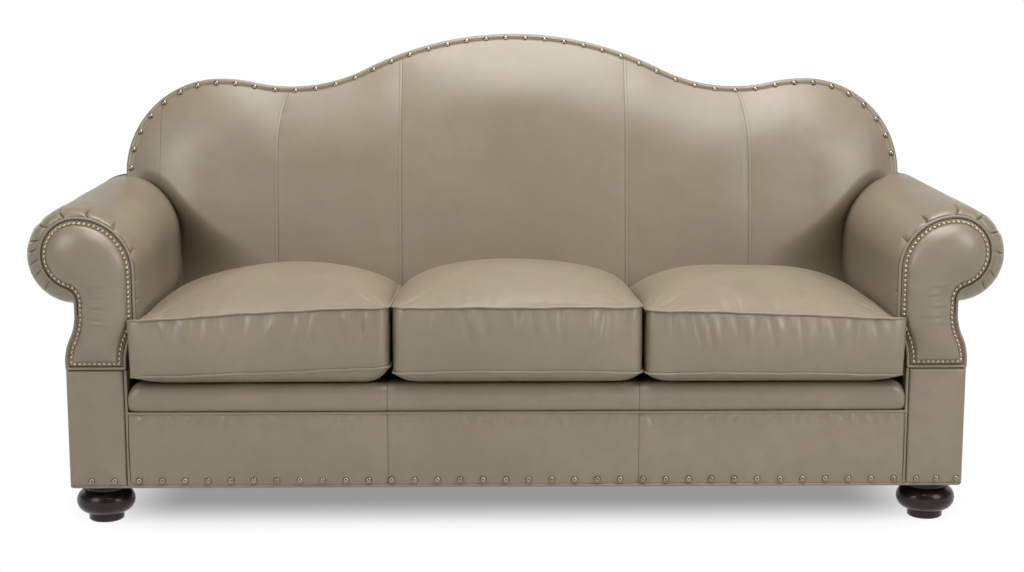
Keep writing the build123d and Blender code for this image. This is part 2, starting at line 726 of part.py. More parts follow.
with BuildPart() as outside_back:
    with BuildSketch(front_plane(0)):
        with BuildLine():
            arm_curve(ROLL_X, ARM_TOP, ROLL_RADIUS, CROOK_RADIUS, 0, FOOT_HEIGHT)
            foot = arm_outside(0, FOOT_HEIGHT)
            Line(foot @ 1, (SEAT_HALF, FOOT_HEIGHT))
        make_face()
        mirror(about=Plane.YZ)
        with Locations((0, (FOOT_HEIGHT + ARM_TOP) / 2)):
            Rectangle(2 * POST_IN, ARM_TOP - FOOT_HEIGHT)
    extrude(amount=-FAR)
    with BuildSketch(back_plane(REAR_DEPTH)):
        Rectangle(2 * FAR, 2 * FAR)
    extrude(amount=-OUTSIDE_THICKNESS, mode=Mode.INTERSECT)
    with BuildSketch(back_plane(REAR_DEPTH)):
        with BuildLine():
            camel_outline(0, up(ARM_TOP - ROLL_RADIUS))
        make_face()
    extrude(amount=-OUTSIDE_THICKNESS)
save(outside_back.part, "outside_back")

large_nail = nail(LARGE_NAIL_RADIUS, LARGE_NAIL_DOME)
with BuildLine(back_plane(FRAME_DEPTH - LEATHER)) as crest_nailing:
    camel_curve(BACK_NAIL_EDGE, up(ARM_TOP - ROLL_RADIUS))
crest_line = Wire(crest_nailing.line.edges())
crest_count = round(crest_line.length / BACK_NAIL_PITCH)
crest_points = [crest_line @ (i / crest_count) for i in range(crest_count + 1)]
with BuildPart() as back_nails:
    with Locations([Pos(point) for point in crest_points if point.Z > ARM_TOP + BACK_NAIL_EDGE]):
        add(large_nail, rotation=(90 - RECLINE, 0, 0))
save(back_nails.part, "back_nails")

# Front of the base
NOSING_TOP = deck_height(NOSING_DEPTH) - FIT
with BuildPart() as front_nosing:
    with BuildSketch(Plane.YZ) as nosing_section:
        with BuildLine():
            Polyline(
                (FACE_Y - NOSING_PROUD, NOSING_LOW + WELT_ROOM / 2),
                (FACE_Y - NOSING_PROUD, NOSING_TOP),
                (FACE_Y + NOSING_DEPTH, NOSING_TOP),
                (FACE_Y + NOSING_DEPTH, PAD_LOW),
                (FACE_Y + FACING_THICKNESS - FIT, PAD_LOW),
                (FACE_Y + FACING_THICKNESS - FIT, NOSING_LOW + WELT_ROOM / 2),
                close=True,
            )
        make_face()
        fillet(nosing_section.vertices().group_by(Axis.Y)[-1].sort_by(Axis.X)[0], NOSING_ROUND)
    extrude(amount=SEAT_HALF - FIT, both=True)
save(front_nosing.part, "front_nosing")

WELT_Y = FACE_Y + WELT_DEPTH
with BuildPart() as nosing_welt:
    with BuildSketch(Plane.YZ):
        with Locations((WELT_Y, NOSING_LOW)):
            Circle(WELT_DIAMETER / 2)
    extrude(amount=SEAT_HALF, both=True)
save(nosing_welt.part, "nosing_welt")

PANEL_TOP = NOSING_LOW - WELT_ROOM / 2
with BuildPart() as front_panel:
    with BuildSketch(front_plane(PANEL_SET_BACK)):
        with Locations((0, (PANEL_LOW + PANEL_TOP) / 2)):
            Rectangle(2 * SEAT_HALF, PANEL_TOP - PANEL_LOW)
    extrude(amount=-PANEL_THICKNESS)
save(front_panel.part, "front_panel")

with BuildPart() as base_nails:
    count = int(2 * (SEAT_HALF - LARGE_NAIL_RADIUS) / BASE_NAIL_PITCH)
    with Locations((0, FACE_Y + PANEL_SET_BACK, PANEL_LOW + BASE_NAIL_EDGE)):
        with GridLocations(BASE_NAIL_PITCH, 0, count, 1):
            add(large_nail, rotation=(90, 0, 0))
    post_middle = (POST_IN + POST_OUT) / 2
    for side in (-1, 1):
        with Locations((side * post_middle, FACE_Y, PANEL_LOW + BASE_NAIL_EDGE)):
            with GridLocations(POST_NAIL_PITCH, 0, 3, 1):
                add(large_nail, rotation=(90, 0, 0))
save(base_nails.part, "base_nails")

with BuildLine(Plane.XY.offset(FOOT_HEIGHT + WELT_ROOM / 2)) as base_run:
    base_x = LOWER_X - WELT_ROOM / 2
    FilletPolyline(
        (-base_x, FACE_Y + FAR),
        (-base_x, WELT_Y),
        (base_x, WELT_Y),
        (base_x, FACE_Y + FAR),
        radius=WELT_DIAMETER,
    )
with BuildPart() as base_welts:
    add(welt_along(base_run.wire()))
    split(bisect_by=back_plane(REAR_DEPTH - FIT), keep=Keep.TOP)
    with Locations((0, WELT_Y, PANEL_LOW)):
        with GridLocations(2 * SEAT_HALF + WELT_ROOM, 0, 2, 1):
            Cylinder(
                WELT_DIAMETER / 2,
                FACING_LOW - WELT_ROOM - PANEL_LOW,
                align=(Align.CENTER, Align.CENTER, Align.MIN),
            )
save(base_welts.part, "base_welts")

with BuildPart() as dust_cover:
    dust_front = FACE_Y + DUST_SET_IN
    with BuildSketch(Plane.XY.offset(FOOT_HEIGHT)):
        with Locations((0, dust_front)):
            Rectangle(2 * (LOWER_X - DUST_SET_IN), FAR, align=(Align.CENTER, Align.MIN))
        with Locations((FOOT_X, FRONT_FOOT_Y), (FOOT_X, REAR_FOOT_Y)):
            Circle(FOOT_TOP_RADIUS + DUST_THICKNESS, mode=Mode.SUBTRACT)
        with Locations((-FOOT_X, FRONT_FOOT_Y), (-FOOT_X, REAR_FOOT_Y)):
            Circle(FOOT_TOP_RADIUS + DUST_THICKNESS, mode=Mode.SUBTRACT)
    extrude(amount=-DUST_THICKNESS)
    split(bisect_by=back_plane(REAR_DEPTH - DUST_SET_IN), keep=Keep.TOP)
save(dust_cover.part, "dust_cover")

# Loose seat cushions
for index, name in enumerate(("left", "centre", "right")):
    cell_left = (index - 1.5) * CUSHION_CELL + CUSHION_GAP / 2
    cell_right = (index - 0.5) * CUSHION_CELL - CUSHION_GAP / 2
    outer_form = cushion_solid(cell_left, cell_right, 0)
    inner_form = cushion_solid(cell_left, cell_right, LEATHER)
    with BuildPart() as cushion_cover:
        add(outer_form)
        add(inner_form, mode=Mode.SUBTRACT)
    save(cushion_cover.part, f"{name}_cushion_cover")
    save(cushion_solid(cell_left, cell_right, LEATHER + FIT), f"{name}_cushion_core")
    with BuildPart() as both_welts:
        for path in cushion_welts(cell_left, cell_right):
            add(welt_along(path))
    save(both_welts.part, f"{name}_cushion_welts")

# Feet on their bolts
with BuildPart() as foot:
    with BuildSketch(Plane.XZ):
        with BuildLine():
            ring_top = FOOT_HEIGHT * 0.17
            bun_low = FOOT_HEIGHT * 0.2
            bun_high = FOOT_HEIGHT * 0.76
            collar_low = FOOT_HEIGHT * 0.82
            Polyline(
                (0, FOOT_HEIGHT),
                (0, 0),
                (FOOT_RING_RADIUS - 3, 0),
                (FOOT_RING_RADIUS, 3),
                (FOOT_RING_RADIUS, ring_top),
                (FOOT_NECK_RADIUS, bun_low),
            )
            ThreePointArc(
                (FOOT_NECK_RADIUS, bun_low),
                (FOOT_RADIUS, (bun_low + bun_high) / 2),
                (FOOT_NECK_RADIUS, bun_high),
            )
            Polyline(
                (FOOT_NECK_RADIUS, bun_high),
                (FOOT_NECK_RADIUS, collar_low),
                (FOOT_TOP_RADIUS, collar_low + 3),
                (FOOT_TOP_RADIUS, FOOT_HEIGHT),
                (0, FOOT_HEIGHT),
            )
        make_face()
    revolve(axis=Axis.Z)
    with Locations((0, 0, FOOT_HEIGHT)):
        Hole(BOLT_RADIUS + BOLT_FIT, depth=BOLT_DEPTH)

FOOT_PLACES = {
    "front_left_foot": (-FOOT_X, FRONT_FOOT_Y),
    "front_right_foot": (FOOT_X, FRONT_FOOT_Y),
    "rear_left_foot": (-FOOT_X, REAR_FOOT_Y),
    "rear_right_foot": (FOOT_X, REAR_FOOT_Y),
}
for name, place in FOOT_PLACES.items():
    with BuildPart() as placed_foot:
        with Locations(place):
            add(foot.part)
    save(placed_foot.part, name)

with BuildPart() as foot_bolts:
    with Locations([(x, y, FOOT_HEIGHT - BOLT_DEPTH) for x, y in FOOT_PLACES.values()]):
        Cylinder(
            BOLT_RADIUS,
            BOLT_DEPTH + BLOCK_HEIGHT,
            align=(Align.CENTER, Align.CENTER, Align.MIN),
        )
save(foot_bolts.part, "foot_bolts")
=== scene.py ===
"""Dresses the camel-back leather sofa: upholstery, nails, finishes, light and camera."""

import json
import logging
import math
from dataclasses import dataclass, field, replace
from enum import Enum
from typing import Any, Callable, ClassVar

import bpy
import numpy as np
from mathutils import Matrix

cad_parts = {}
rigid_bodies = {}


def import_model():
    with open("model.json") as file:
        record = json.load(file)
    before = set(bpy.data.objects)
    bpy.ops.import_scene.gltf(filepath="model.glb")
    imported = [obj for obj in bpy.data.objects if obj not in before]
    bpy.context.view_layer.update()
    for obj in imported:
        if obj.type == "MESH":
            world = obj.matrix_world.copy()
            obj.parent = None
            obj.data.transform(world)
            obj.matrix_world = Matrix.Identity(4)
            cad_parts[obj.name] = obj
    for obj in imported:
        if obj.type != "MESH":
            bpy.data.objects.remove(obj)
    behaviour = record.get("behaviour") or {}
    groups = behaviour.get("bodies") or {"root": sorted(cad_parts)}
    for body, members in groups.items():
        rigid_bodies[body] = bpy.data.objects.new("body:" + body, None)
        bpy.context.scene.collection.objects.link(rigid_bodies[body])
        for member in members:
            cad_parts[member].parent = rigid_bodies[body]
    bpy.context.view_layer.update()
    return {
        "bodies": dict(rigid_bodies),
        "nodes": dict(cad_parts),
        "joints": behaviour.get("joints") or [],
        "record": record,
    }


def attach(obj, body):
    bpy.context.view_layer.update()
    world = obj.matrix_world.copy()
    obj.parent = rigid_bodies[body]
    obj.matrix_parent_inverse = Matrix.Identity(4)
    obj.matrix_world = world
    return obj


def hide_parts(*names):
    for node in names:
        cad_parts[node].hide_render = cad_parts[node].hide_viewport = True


LOG = logging.getLogger("sofa")
Array = np.ndarray
Pair = tuple[float, float]
Triple = tuple[float, float, float]
Piece = bpy.types.Object
Outward = Callable[[Array], Array]


class Hand(Enum):
    """Side of the sofa, as the sign of its X."""

    LEFT = -1
    RIGHT = 1


def joined(*parts: Array | float) -> Array:
    """Points from arrays of their coordinates."""
    return np.stack(np.broadcast_arrays(*parts), -1)


@dataclass(frozen=True)
class Plan:
    """Sizes that the upholstery shares with the frame, in metres."""

    half_width: float = 1.075
    foot_height: float = 0.095
    seat_depth: float = 0.532
    lean: float = math.radians(11)
    slope: float = math.radians(2)
    deck_top: float = 0.331
    arm_in: float = 0.834
    arm_flare: float = 0.024
    arm_top: float = 0.712
    roll_radius: float = 0.106
    waist_set_in: float = 0.106
    waist_flare: float = 0.024
    flare_height: float = 0.106
    crook: float = 0.014
    waist_drop: float = 0.006
    facing_drop: float = 0.010
    welt: float = 0.0076
    crest_height: float = 1.072
    frame_depth: float = 0.048
    rear_depth: float = 0.108
    rear_panel: float = 0.008
    overhang: float = 0.0256
    base_low: float = 0.0955
    arm_foot: float = 0.300
    rim_shift: float = 0.011
    rim_drop: float = 0.014
    rim_less: float = 0.021
    rim_crook: float = 0.010
    crest_run: float = 0.556
    crest_drop: float = 0.130
    crest_share: float = 0.66
    shoulder_run: float = 0.178
    shoulder_rise: float = 0.0195
    shoulder_set_in: float = 0.107

    @property
    def back_foot(self) -> float:
        """Depth of the inside back's plane where it meets the floor."""
        return self.seat_depth - self.deck_top * math.tan(self.lean)

    @property
    def face_y(self) -> float:
        """Y of the arm fronts.

        Returns:
            Y that puts the middle of the sofa's depth at 0.
        """
        reach = self.back_foot + self.crest_height * math.tan(self.lean)
        reach += (self.rear_depth + self.rear_panel) * math.cos(self.lean)
        return (self.overhang - reach) / 2

    @property
    def roll_x(self) -> float:
        """X of the middle of an arm roll."""
        return self.half_width - self.roll_radius

    @property
    def seat_half(self) -> float:
        """Half the clear width between the arms at the deck."""
        return self.arm_in + self.arm_flare

    @property
    def waist_x(self) -> float:
        """X of the waist under a roll."""
        return self.half_width - self.waist_set_in

    @property
    def lower_x(self) -> float:
        """X of the outside of the base."""
        return self.waist_x + self.waist_flare

    @property
    def waist_low(self) -> float:
        """Height where the outside of the arm starts to step out.

        Returns:
            Height above the floor.
        """
        under = math.acos((self.waist_x + self.crook - self.roll_x) / (self.roll_radius + self.crook))
        drop = self.roll_radius + (self.roll_radius + self.crook) * math.sin(under)
        return self.arm_top - drop - self.waist_drop

    @property
    def flare_low(self) -> float:
        """Height where both steps of the arm end."""
        return self.waist_low - self.flare_height

    @property
    def facing_low(self) -> float:
        """Height of the lower edge of the scroll facing."""
        return self.flare_low - self.facing_drop

    def up(self, z: Array | float, depth: Array | float = 0.0) -> Array:
        """Length up the lean at a height, at a depth behind the inside back's plane."""
        return (z + depth * math.sin(self.lean)) / math.cos(self.lean)

    def on_back(self, x: Array, up: Array, depth: Array) -> Array:
        """Points from X, length up the lean and depth behind the inside back's plane.

        Args:
            x: place across.
            up: length up the lean.
            depth: behind the inside back's plane.

        Returns:
            Points, shape (..., 3).
        """
        y = self.face_y + self.back_foot + up * math.sin(self.lean) + depth * math.cos(self.lean)
        z = up * math.cos(self.lean) - depth * math.sin(self.lean)
        return joined(x, y, z)

    def rear_y(self, z: Array | float, depth: float) -> Array:
        """Y where a line from front to back meets a plane parallel to the inside back."""
        return self.face_y + self.back_foot + z * math.tan(self.lean) + depth / math.cos(self.lean)

    def on_deck(self, x: Array, along: Array, height: Array) -> Array:
        """Points from X, length back along the deck and height above it.

        Args:
            x: place across.
            along: length back along the deck.
            height: above the deck.

        Returns:
            Points, shape (..., 3).
        """
        y = self.face_y + along * math.cos(self.slope) + height * math.sin(self.slope)
        z = self.deck_top - along * math.sin(self.slope) + height * math.cos(self.slope)
        return joined(x, y, z)


PLAN = Plan()
# Values below these count as nothing.
NEARLY = 1e-6
TINY = 1e-9
# Places of the seams in X. The back's outer ones bow inwards above a height.
BACK_SEAMS = (0.277, 0.583)
SEAM_BOW = 1.5
BOW_START = 0.80
BOW_FROM = 0.5
FRONT_SEAM = 0.2783
FRONT_SHIFT = -0.009
FRONT = (0.0, -1.0, 0.0)


@dataclass
class Track:
    """Straight runs and arcs in a plane, walked from a start; a turn to the left is positive."""

    start: Pair
    heading: float
    runs: list[Pair] = field(default_factory=list)

    def straight(self, length: float) -> "Track":
        """Adds a straight run."""
        self.runs.append((max(length, NEARLY), 0.0))
        return self

    def arc(self, radius: float, degrees: float) -> "Track":
        """Adds an arc.

        Args:
            radius: of the arc.
            degrees: its turn.

        Returns:
            This track.
        """
        turn = math.radians(degrees)
        self.runs.append((max(radius * abs(turn), NEARLY), turn))
        return self

    def ess(self, run: float, shift: float, side: int, share: float = 0.5) -> "Track":
        """Adds two tangent arcs that step the line sideways by shift over run.

        Args:
            run: length straight ahead.
            shift: step sideways.
            side: 1 for a step to the left, -1 to the right.
            share: share of the first arc.

        Returns:
            This track.
        """
        total = (run**2 + shift**2) / (2 * shift)
        turn = 2 * math.degrees(math.atan(shift / run))
        self.arc(share * total, side * turn)
        return self.arc((1 - share) * total, -side * turn)

    @property
    def length(self) -> float:
        """Length of the whole line."""
        return sum(run for run, _ in self.runs)

    @property
    def knots(self) -> Array:
        """Distances of the joints between runs from the start."""
        return np.concatenate([[0.0], np.cumsum([run for run, _ in self.runs])])

    def at(self, s: Array, inset: Array | float = 0.0) -> tuple[Array, Array]:
        """Walks the line.

        Args:
            s: distances from the start.
            inset: how far the line is moved to the right of its heading.

        Returns:
            Points, shape (n, 2), and unit normals to the right of the heading.
        """
        s = np.asarray(s, float)
        points = np.zeros(s.shape + (2,))
        angles = np.zeros(s.shape)
        here, heading, done = np.array(self.start, float), self.heading, 0.0
        for index, (run, turn) in enumerate(self.runs):
            last = index == len(self.runs) - 1
            mask = (s >= done) & ((s < done + run) | last)
            d = s[mask] - done
            bend = turn / run
            angle = heading + bend * d
            if abs(turn) < TINY:
                step = np.stack([d * math.cos(heading), d * math.sin(heading)], -1)
                end = np.array([run * math.cos(heading), run * math.sin(heading)])
            else:
                sine, cosine, close = math.sin(heading), math.cos(heading), heading + turn
                step = np.stack([np.sin(angle) - sine, cosine - np.cos(angle)], -1) / bend
                end = np.array([math.sin(close) - sine, cosine - math.cos(close)]) / bend
            points[mask] = here + step
            angles[mask] = angle
            here, heading, done = here + end, heading + turn, done + run
        normals = np.stack([np.sin(angles), -np.cos(angles)], -1)
        return points + normals * np.asarray(inset)[..., None], normals


def camel_track(low: float) -> Track:
    """Right half of the back's outline from the crest to a length along the lean: X and length up.

    Args:
        low: length along the lean where it ends.

    Returns:
        The outline.
    """
    scale = 1 / math.cos(PLAN.lean)
    track = Track((0.0, PLAN.crest_height * scale), 0.0)
    track.ess(PLAN.crest_run, PLAN.crest_drop * scale, -1, PLAN.crest_share)
    track.ess(PLAN.shoulder_run, PLAN.shoulder_rise * scale, 1)
    radius = PLAN.half_width - PLAN.shoulder_set_in - PLAN.crest_run - PLAN.shoulder_run
    shoulder = (PLAN.crest_height - PLAN.crest_drop + PLAN.shoulder_rise) * scale
    return track.arc(radius, -90).straight(shoulder - radius - low)


def arm_track(rest: float, low: float) -> Track:
    """Outline of the right arm from the foot of its inner wall to the waist.

    Args:
        rest: 1 for the front rim, 0 for the full roll.
        low: height of its foot.

    Returns:
        The outline.
    """
    roll_x = PLAN.roll_x - PLAN.rim_shift * rest
    top = PLAN.arm_top - PLAN.rim_drop * rest
    radius = PLAN.roll_radius - PLAN.rim_less * rest
    crook = PLAN.crook + PLAN.rim_crook * rest
    under = math.acos((PLAN.waist_x + crook - roll_x) / (radius + crook))
    track = Track((PLAN.seat_half, low), math.pi / 2).straight(PLAN.flare_low - low)
    track.ess(PLAN.flare_height, PLAN.arm_flare, 1)
    spring = top - roll_x + PLAN.arm_in
    track.straight(spring - PLAN.flare_low - PLAN.flare_height).arc(roll_x - PLAN.arm_in, -90)
    track.arc(radius, -90 - math.degrees(under)).arc(crook, math.degrees(under))
    waist = top - radius - (radius + crook) * math.sin(under)
    return track.straight(waist - PLAN.waist_low)


def outside_track(low: float) -> Track:
    """Outside of the right arm from the waist, through its step, down to a height.

    Args:
        low: height where it ends.

    Returns:
        The line.
    """
    track = Track((PLAN.waist_x, PLAN.waist_low), -math.pi / 2)
    track.ess(PLAN.flare_height, PLAN.waist_flare, 1)
    return track.straight(PLAN.flare_low - low)


def smooth(x: Array, low: float, high: float) -> Array:
    """Smooth step from 0 at low to 1 at high."""
    t = np.clip((np.asarray(x, float) - low) / (high - low), 0, 1)
    return t * t * (3 - 2 * t)


def rounded(x: Array) -> Array:
    """Quarter circle that rises steeply from 0 at 0 to 1 at 1 and stays there."""
    t = 1 - np.clip(x, 0, 1)
    return np.sqrt(np.clip(1 - t * t, 0, 1))


def ripple(x: Array, y: Array, seed: int, waves: int = 7, low: float = 6.0, high: float = 24.0) -> Array:
    """Soft unevenness between about -1 and 1: a sum of sine waves in seeded directions.

    Args:
        x: place across.
        y: place along.
        seed: of the waves.
        waves: number of waves.
        low: slowest wave, in radians per metre.
        high: fastest wave.

    Returns:
        Height at each place.
    """
    rng = np.random.default_rng(seed)
    angle = rng.uniform(0, 2 * math.pi, waves)
    pace = rng.uniform(low, high, waves)
    phase = rng.uniform(0, 2 * math.pi, waves)
    total = np.zeros(np.broadcast(x, y).shape)
    for a, k, p in zip(angle, pace, phase):
        total = total + np.sin(k * (x * math.cos(a) + y * math.sin(a)) + p)
    return total / math.sqrt(waves) / 1.4


def bell(gap: Array, wide: float) -> Array:
    """Bell curve that is 1 at a gap of 0."""
    return np.exp(-((gap / wide) ** 2))


def crease(gap: Array, wide: float, shift: float, broad: float, share: float = 0.7) -> Array:
    """Narrow valley with a broader ridge beside it, as a positive and a negative bell."""
    return bell(gap, wide) - share * bell(gap - shift, broad)


def groove(gap: Array, stitch: Pair, dent: Pair) -> Array:
    """Narrow line of a seam in a broader dent; each pair is a depth and a width."""
    return stitch[0] * bell(gap, stitch[1]) + dent[0] * bell(gap, dent[1])


def clustered(count: int) -> Array:
    """Steps from -1 to 1 that stand closer together at both ends."""
    return np.sin(np.linspace(-1, 1, count) * math.pi / 2)


def eased(count: int, power: float) -> Array:
    """Steps from 0 to 1 that stand closer together near 1."""
    return 1 - (1 - np.linspace(0, 1, count)) ** power


def risen(count: int) -> Array:
    """Steps from 0 to 1 on a quarter of a sine wave, closer together near 1."""
    return np.sin(np.linspace(0, 1, count) * math.pi / 2)


def both_ways(half: Array) -> Array:
    """One line from left to right: the mirror image of a line from the middle, then that line."""
    return np.concatenate([(half * (-1, 1))[:0:-1], half])


def mirrored(half: Array) -> Array:
    """Points of the right half of a line with their mirror images."""
    return np.concatenate([half, half * (-1, 1)])


def steps_along(line: Array) -> Array:
    """Distances of a line's points from its start."""
    return np.concatenate([[0], np.cumsum(np.linalg.norm(np.diff(line, axis=0), axis=1))])


def edge_distance(x: Array, y: Array, line: Array) -> Array:
    """Distance from each point of a grid to the nearest sample of a dense line.

    Args:
        x: first coordinates of the grid.
        y: second coordinates of the grid.
        line: points, shape (n, 2).

    Returns:
        Distances, in the grid's shape.
    """
    flat = joined(x, y).reshape(-1, 2)
    best = np.full(len(flat), np.inf)
    for part in np.array_split(line, max(1, len(line) // 60)):
        gap = flat[:, None, :] - part[None]
        best = np.minimum(best, np.sqrt((gap**2).sum(-1)).min(1))
    return best.reshape(x.shape)


@dataclass(frozen=True)
class Folds:
    """Short upright folds that hang from a welt; pairs are the least and the most of a measure."""

    lean: float
    wide: Pair
    far: Pair
    size: Pair
    start: float
    hold: float
    share: float
    stray: float = 0.012
    full: float = 0.012
    ridge_shift: float = 2.1
    ridge_wide: float = 1.5

    def at(self, x: Array, up: Array, spots: Array, seed: int) -> Array:
        """Height of the folds.

        Formula: each fold is a narrow valley beside a broader ridge across X, leans a little, and fades
        with the distance from the welt.

        Args:
            x: place across.
            up: distance from the welt.
            spots: places of the folds.
            seed: of their differences.

        Returns:
            Height at each place.
        """
        rng = np.random.default_rng(seed)
        total = np.zeros(np.broadcast(x, up).shape)
        for spot in spots:
            gap = x - spot - rng.uniform(-self.stray, self.stray)
            gap = gap - rng.uniform(-self.lean, self.lean) * up
            wide, far = rng.uniform(*self.wide), rng.uniform(*self.far)
            fold = crease(gap, wide, self.ridge_shift * wide, self.ridge_wide * wide, self.share)
            fade = smooth(up, self.start, self.full) * (1 - smooth(up, self.hold * far, far))
            total = total + rng.uniform(*self.size) * fold * fade
        return total


class Mesh:
    """Builds mesh objects from grids of points."""

    @staticmethod
    def faces(rows: int, cols: int, wrap_rows: bool, wrap_cols: bool) -> Array:
        """Quads of a grid, as rows of four vertex numbers.

        Args:
            rows: points along the first parameter.
            cols: points along the second parameter.
            wrap_rows: whether the last row joins the first.
            wrap_cols: whether the last column joins the first.

        Returns:
            Array of shape (faces, 4).
        """
        last_row, last_col = rows - (not wrap_rows), cols - (not wrap_cols)
        i, j = np.meshgrid(np.arange(last_row), np.arange(last_col), indexing="ij")
        a, b = (i + 1) % rows, (j + 1) % cols
        quads = np.stack([i * cols + j, a * cols + j, a * cols + b, i * cols + b], -1)
        return quads.reshape(-1, 4)

    @staticmethod
    def build(name: str, points: Array, quads: Array, away: Outward | None) -> Piece:
        """Makes an object of quads and turns its faces outwards.

        Args:
            name: name of the piece.
            points: vertices, shape (n, 3).
            quads: vertex numbers, shape (m, 4).
            away: gives the outward direction at face centres, or None for a closed form.

        Returns:
            The new object, at the origin.
        """
        points = np.ascontiguousarray(points, float).reshape(-1, 3)
        corner = points[quads]
        normal = np.cross(corner[:, 2] - corner[:, 0], corner[:, 3] - corner[:, 1])
        centre = corner.mean(1)
        if away is None:
            facing = float((normal * centre).sum())
            facing -= float((normal.sum(0) * points.mean(0)).sum())
        else:
            facing = float((normal * away(centre)).sum())
        if facing < 0:
            quads = quads[:, ::-1]
        data = bpy.data.meshes.new(name)
        data.vertices.add(len(points))
        data.vertices.foreach_set("co", points.ravel())
        data.loops.add(quads.size)
        data.loops.foreach_set("vertex_index", np.ascontiguousarray(quads, np.int32).ravel())
        data.polygons.add(len(quads))
        data.polygons.foreach_set("loop_start", np.arange(len(quads), dtype=np.int32) * 4)
        data.polygons.foreach_set("use_smooth", np.ones(len(quads), bool))
        data.update(calc_edges=True)
        data.validate()
        piece = bpy.data.objects.new(name, data)
        bpy.context.scene.collection.objects.link(piece)
        return piece

    @classmethod
    def sheet(cls, name: str, grid: Array, away: Triple) -> Piece:
        """Object of one grid whose faces look along a direction."""
        return cls.shell(name, grid, lambda c: np.broadcast_to(np.array(away, float), c.shape))

    @classmethod
    def shell(cls, name: str, grid: Array, away: Outward) -> Piece:
        """Object of one grid; away gives the outward direction at face centres."""
        return cls.build(name, grid, cls.faces(*grid.shape[:2], False, False), away)

    @classmethod
    def around(cls, name: str, points: Array, quads: Array, middles: Array) -> Piece:
        """Object whose faces look away from the middle that goes with each point."""
        out = (points.reshape(-1, 3) - middles)[quads].mean(1)
        return cls.build(name, points, quads, lambda c: out)

    @classmethod
    def tube(cls, name: str, path: Array, radius: float, closed: bool, sides: int = 10) -> Piece:
        """Round cord along a path.

        Formula: at each point two unit vectors square to the path carry a circle of the radius.

        Args:
            name: name of the piece.
            path: points, shape (n, 3).
            radius: of the cord.
            closed: whether the path is a ring.
            sides: points round the cord.

        Returns:
            The new object.
        """
        if closed:
            along = np.roll(path, -1, 0) - np.roll(path, 1, 0)
        else:
            along = np.gradient(path, axis=0)
        along /= np.linalg.norm(along, axis=1, keepdims=True)
        upright = np.abs(along[:, 2]).max() >= 0.98
        across = np.cross(along, (0.0, 1.0, 0.0) if upright else (0.0, 0.0, 1.0))
        across /= np.linalg.norm(across, axis=1, keepdims=True)
        above = np.cross(across, along)
        turn = np.linspace(0, 2 * math.pi, sides, endpoint=False)[None, :, None]
        ring = across[:, None] * np.cos(turn) + above[:, None] * np.sin(turn)
        quads = cls.faces(len(path), sides, closed, True)
        return cls.around(name, path[:, None] + radius * ring, quads, np.repeat(path, sides, 0))

    @classmethod
    def domes(cls, name: str, feet: Array, way: Triple, radius: float, height: float) -> Piece:
        """Domed nail heads, each a few rings and a small flat top of quads.

        Formula: a ring at angle a from the rim has radius r cos(a) and height h sin(a).

        Args:
            name: name of the piece.
            feet: centres of the heads on the leather, shape (n, 3).
            way: direction that the heads face.
            radius: of a head.
            height: of a head.

        Returns:
            One object that holds all the heads.
        """
        out = np.array(way) / np.linalg.norm(way)
        side = np.cross(out, np.array([0.0, 0.0, 1.0]))
        side /= np.linalg.norm(side)
        rise = np.cross(side, out)
        lift = np.array([-0.35, 0.0, 0.36, 0.68, 0.91, 0.995])
        wide = np.array([1.0, 1.0, 0.93, 0.73, 0.41, 0.05])
        turn = np.linspace(0, 2 * math.pi, 12, endpoint=False)
        circle = side * np.cos(turn)[:, None] + rise * np.sin(turn)[:, None]
        head = radius * wide[:, None, None] * circle[None] + height * lift[:, None, None] * out
        points = feet[:, None, None] + head[None]
        step, k = len(lift) * len(turn), np.arange(1, len(turn) - 2, 2)
        cap = np.stack([0 * k, k + 2, k + 1, k], -1) + step - len(turn)
        one = np.concatenate([cls.faces(len(lift), len(turn), False, True), cap])
        quads = (one[None] + step * np.arange(len(feet))[:, None, None]).reshape(-1, 4)
        return cls.around(name, points, quads, np.repeat(feet - out * height, step, 0))


class Value:
    """A shader value; calculating with it adds Math nodes."""

    def __init__(self, shade: "Shade", socket: bpy.types.NodeSocket) -> None:
        """Keeps the node tree and the socket."""
        self.shade = shade
        self.socket = socket

    def math(self, operation: str, *others: "Value | float") -> "Value":
        """Adds one Math node on this value and others."""
        values = {index: other for index, other in enumerate((self, *others))}
        return self.shade.node("ShaderNodeMath", {"operation": operation}, values).out(0)

    def __add__(self, other: "Value | float") -> "Value":
        """Sum."""
        return self.math("ADD", other)

    def __sub__(self, other: "Value | float") -> "Value":
        """Difference."""
        return self.math("SUBTRACT", other)

    def __rsub__(self, other: float) -> "Value":
        """A number minus this value."""
        return (self * -1.0) + other

    def __mul__(self, other: "Value | float") -> "Value":
        """Product."""
        return self.math("MULTIPLY", other)

    __radd__, __rmul__ = __add__, __mul__

    def step(self, low: float, high: float) -> "Value":
        """Smooth step from 0 at low to 1 at high, or the other way round when low is the larger.

        Args:
            low: where it is 0.
            high: where it is 1.

        Returns:
            The step.
        """
        ends = {1: low, 2: high} if low < high else {1: high, 2: low, 3: 1.0, 4: 0.0}
        settings = {"interpolation_type": "SMOOTHSTEP"}
        return self.shade.node("ShaderNodeMapRange", settings, {"Value": self, **ends}).out(0)


class Node:
    """A shader node and its outputs."""

    def __init__(self, shade: "Shade", node: bpy.types.Node) -> None:
        """Keeps the node tree and the node."""
        self.shade = shade
        self.node = node

    def out(self, key: int | str) -> Value:
        """One output as a value."""
        return Value(self.shade, self.node.outputs[key])


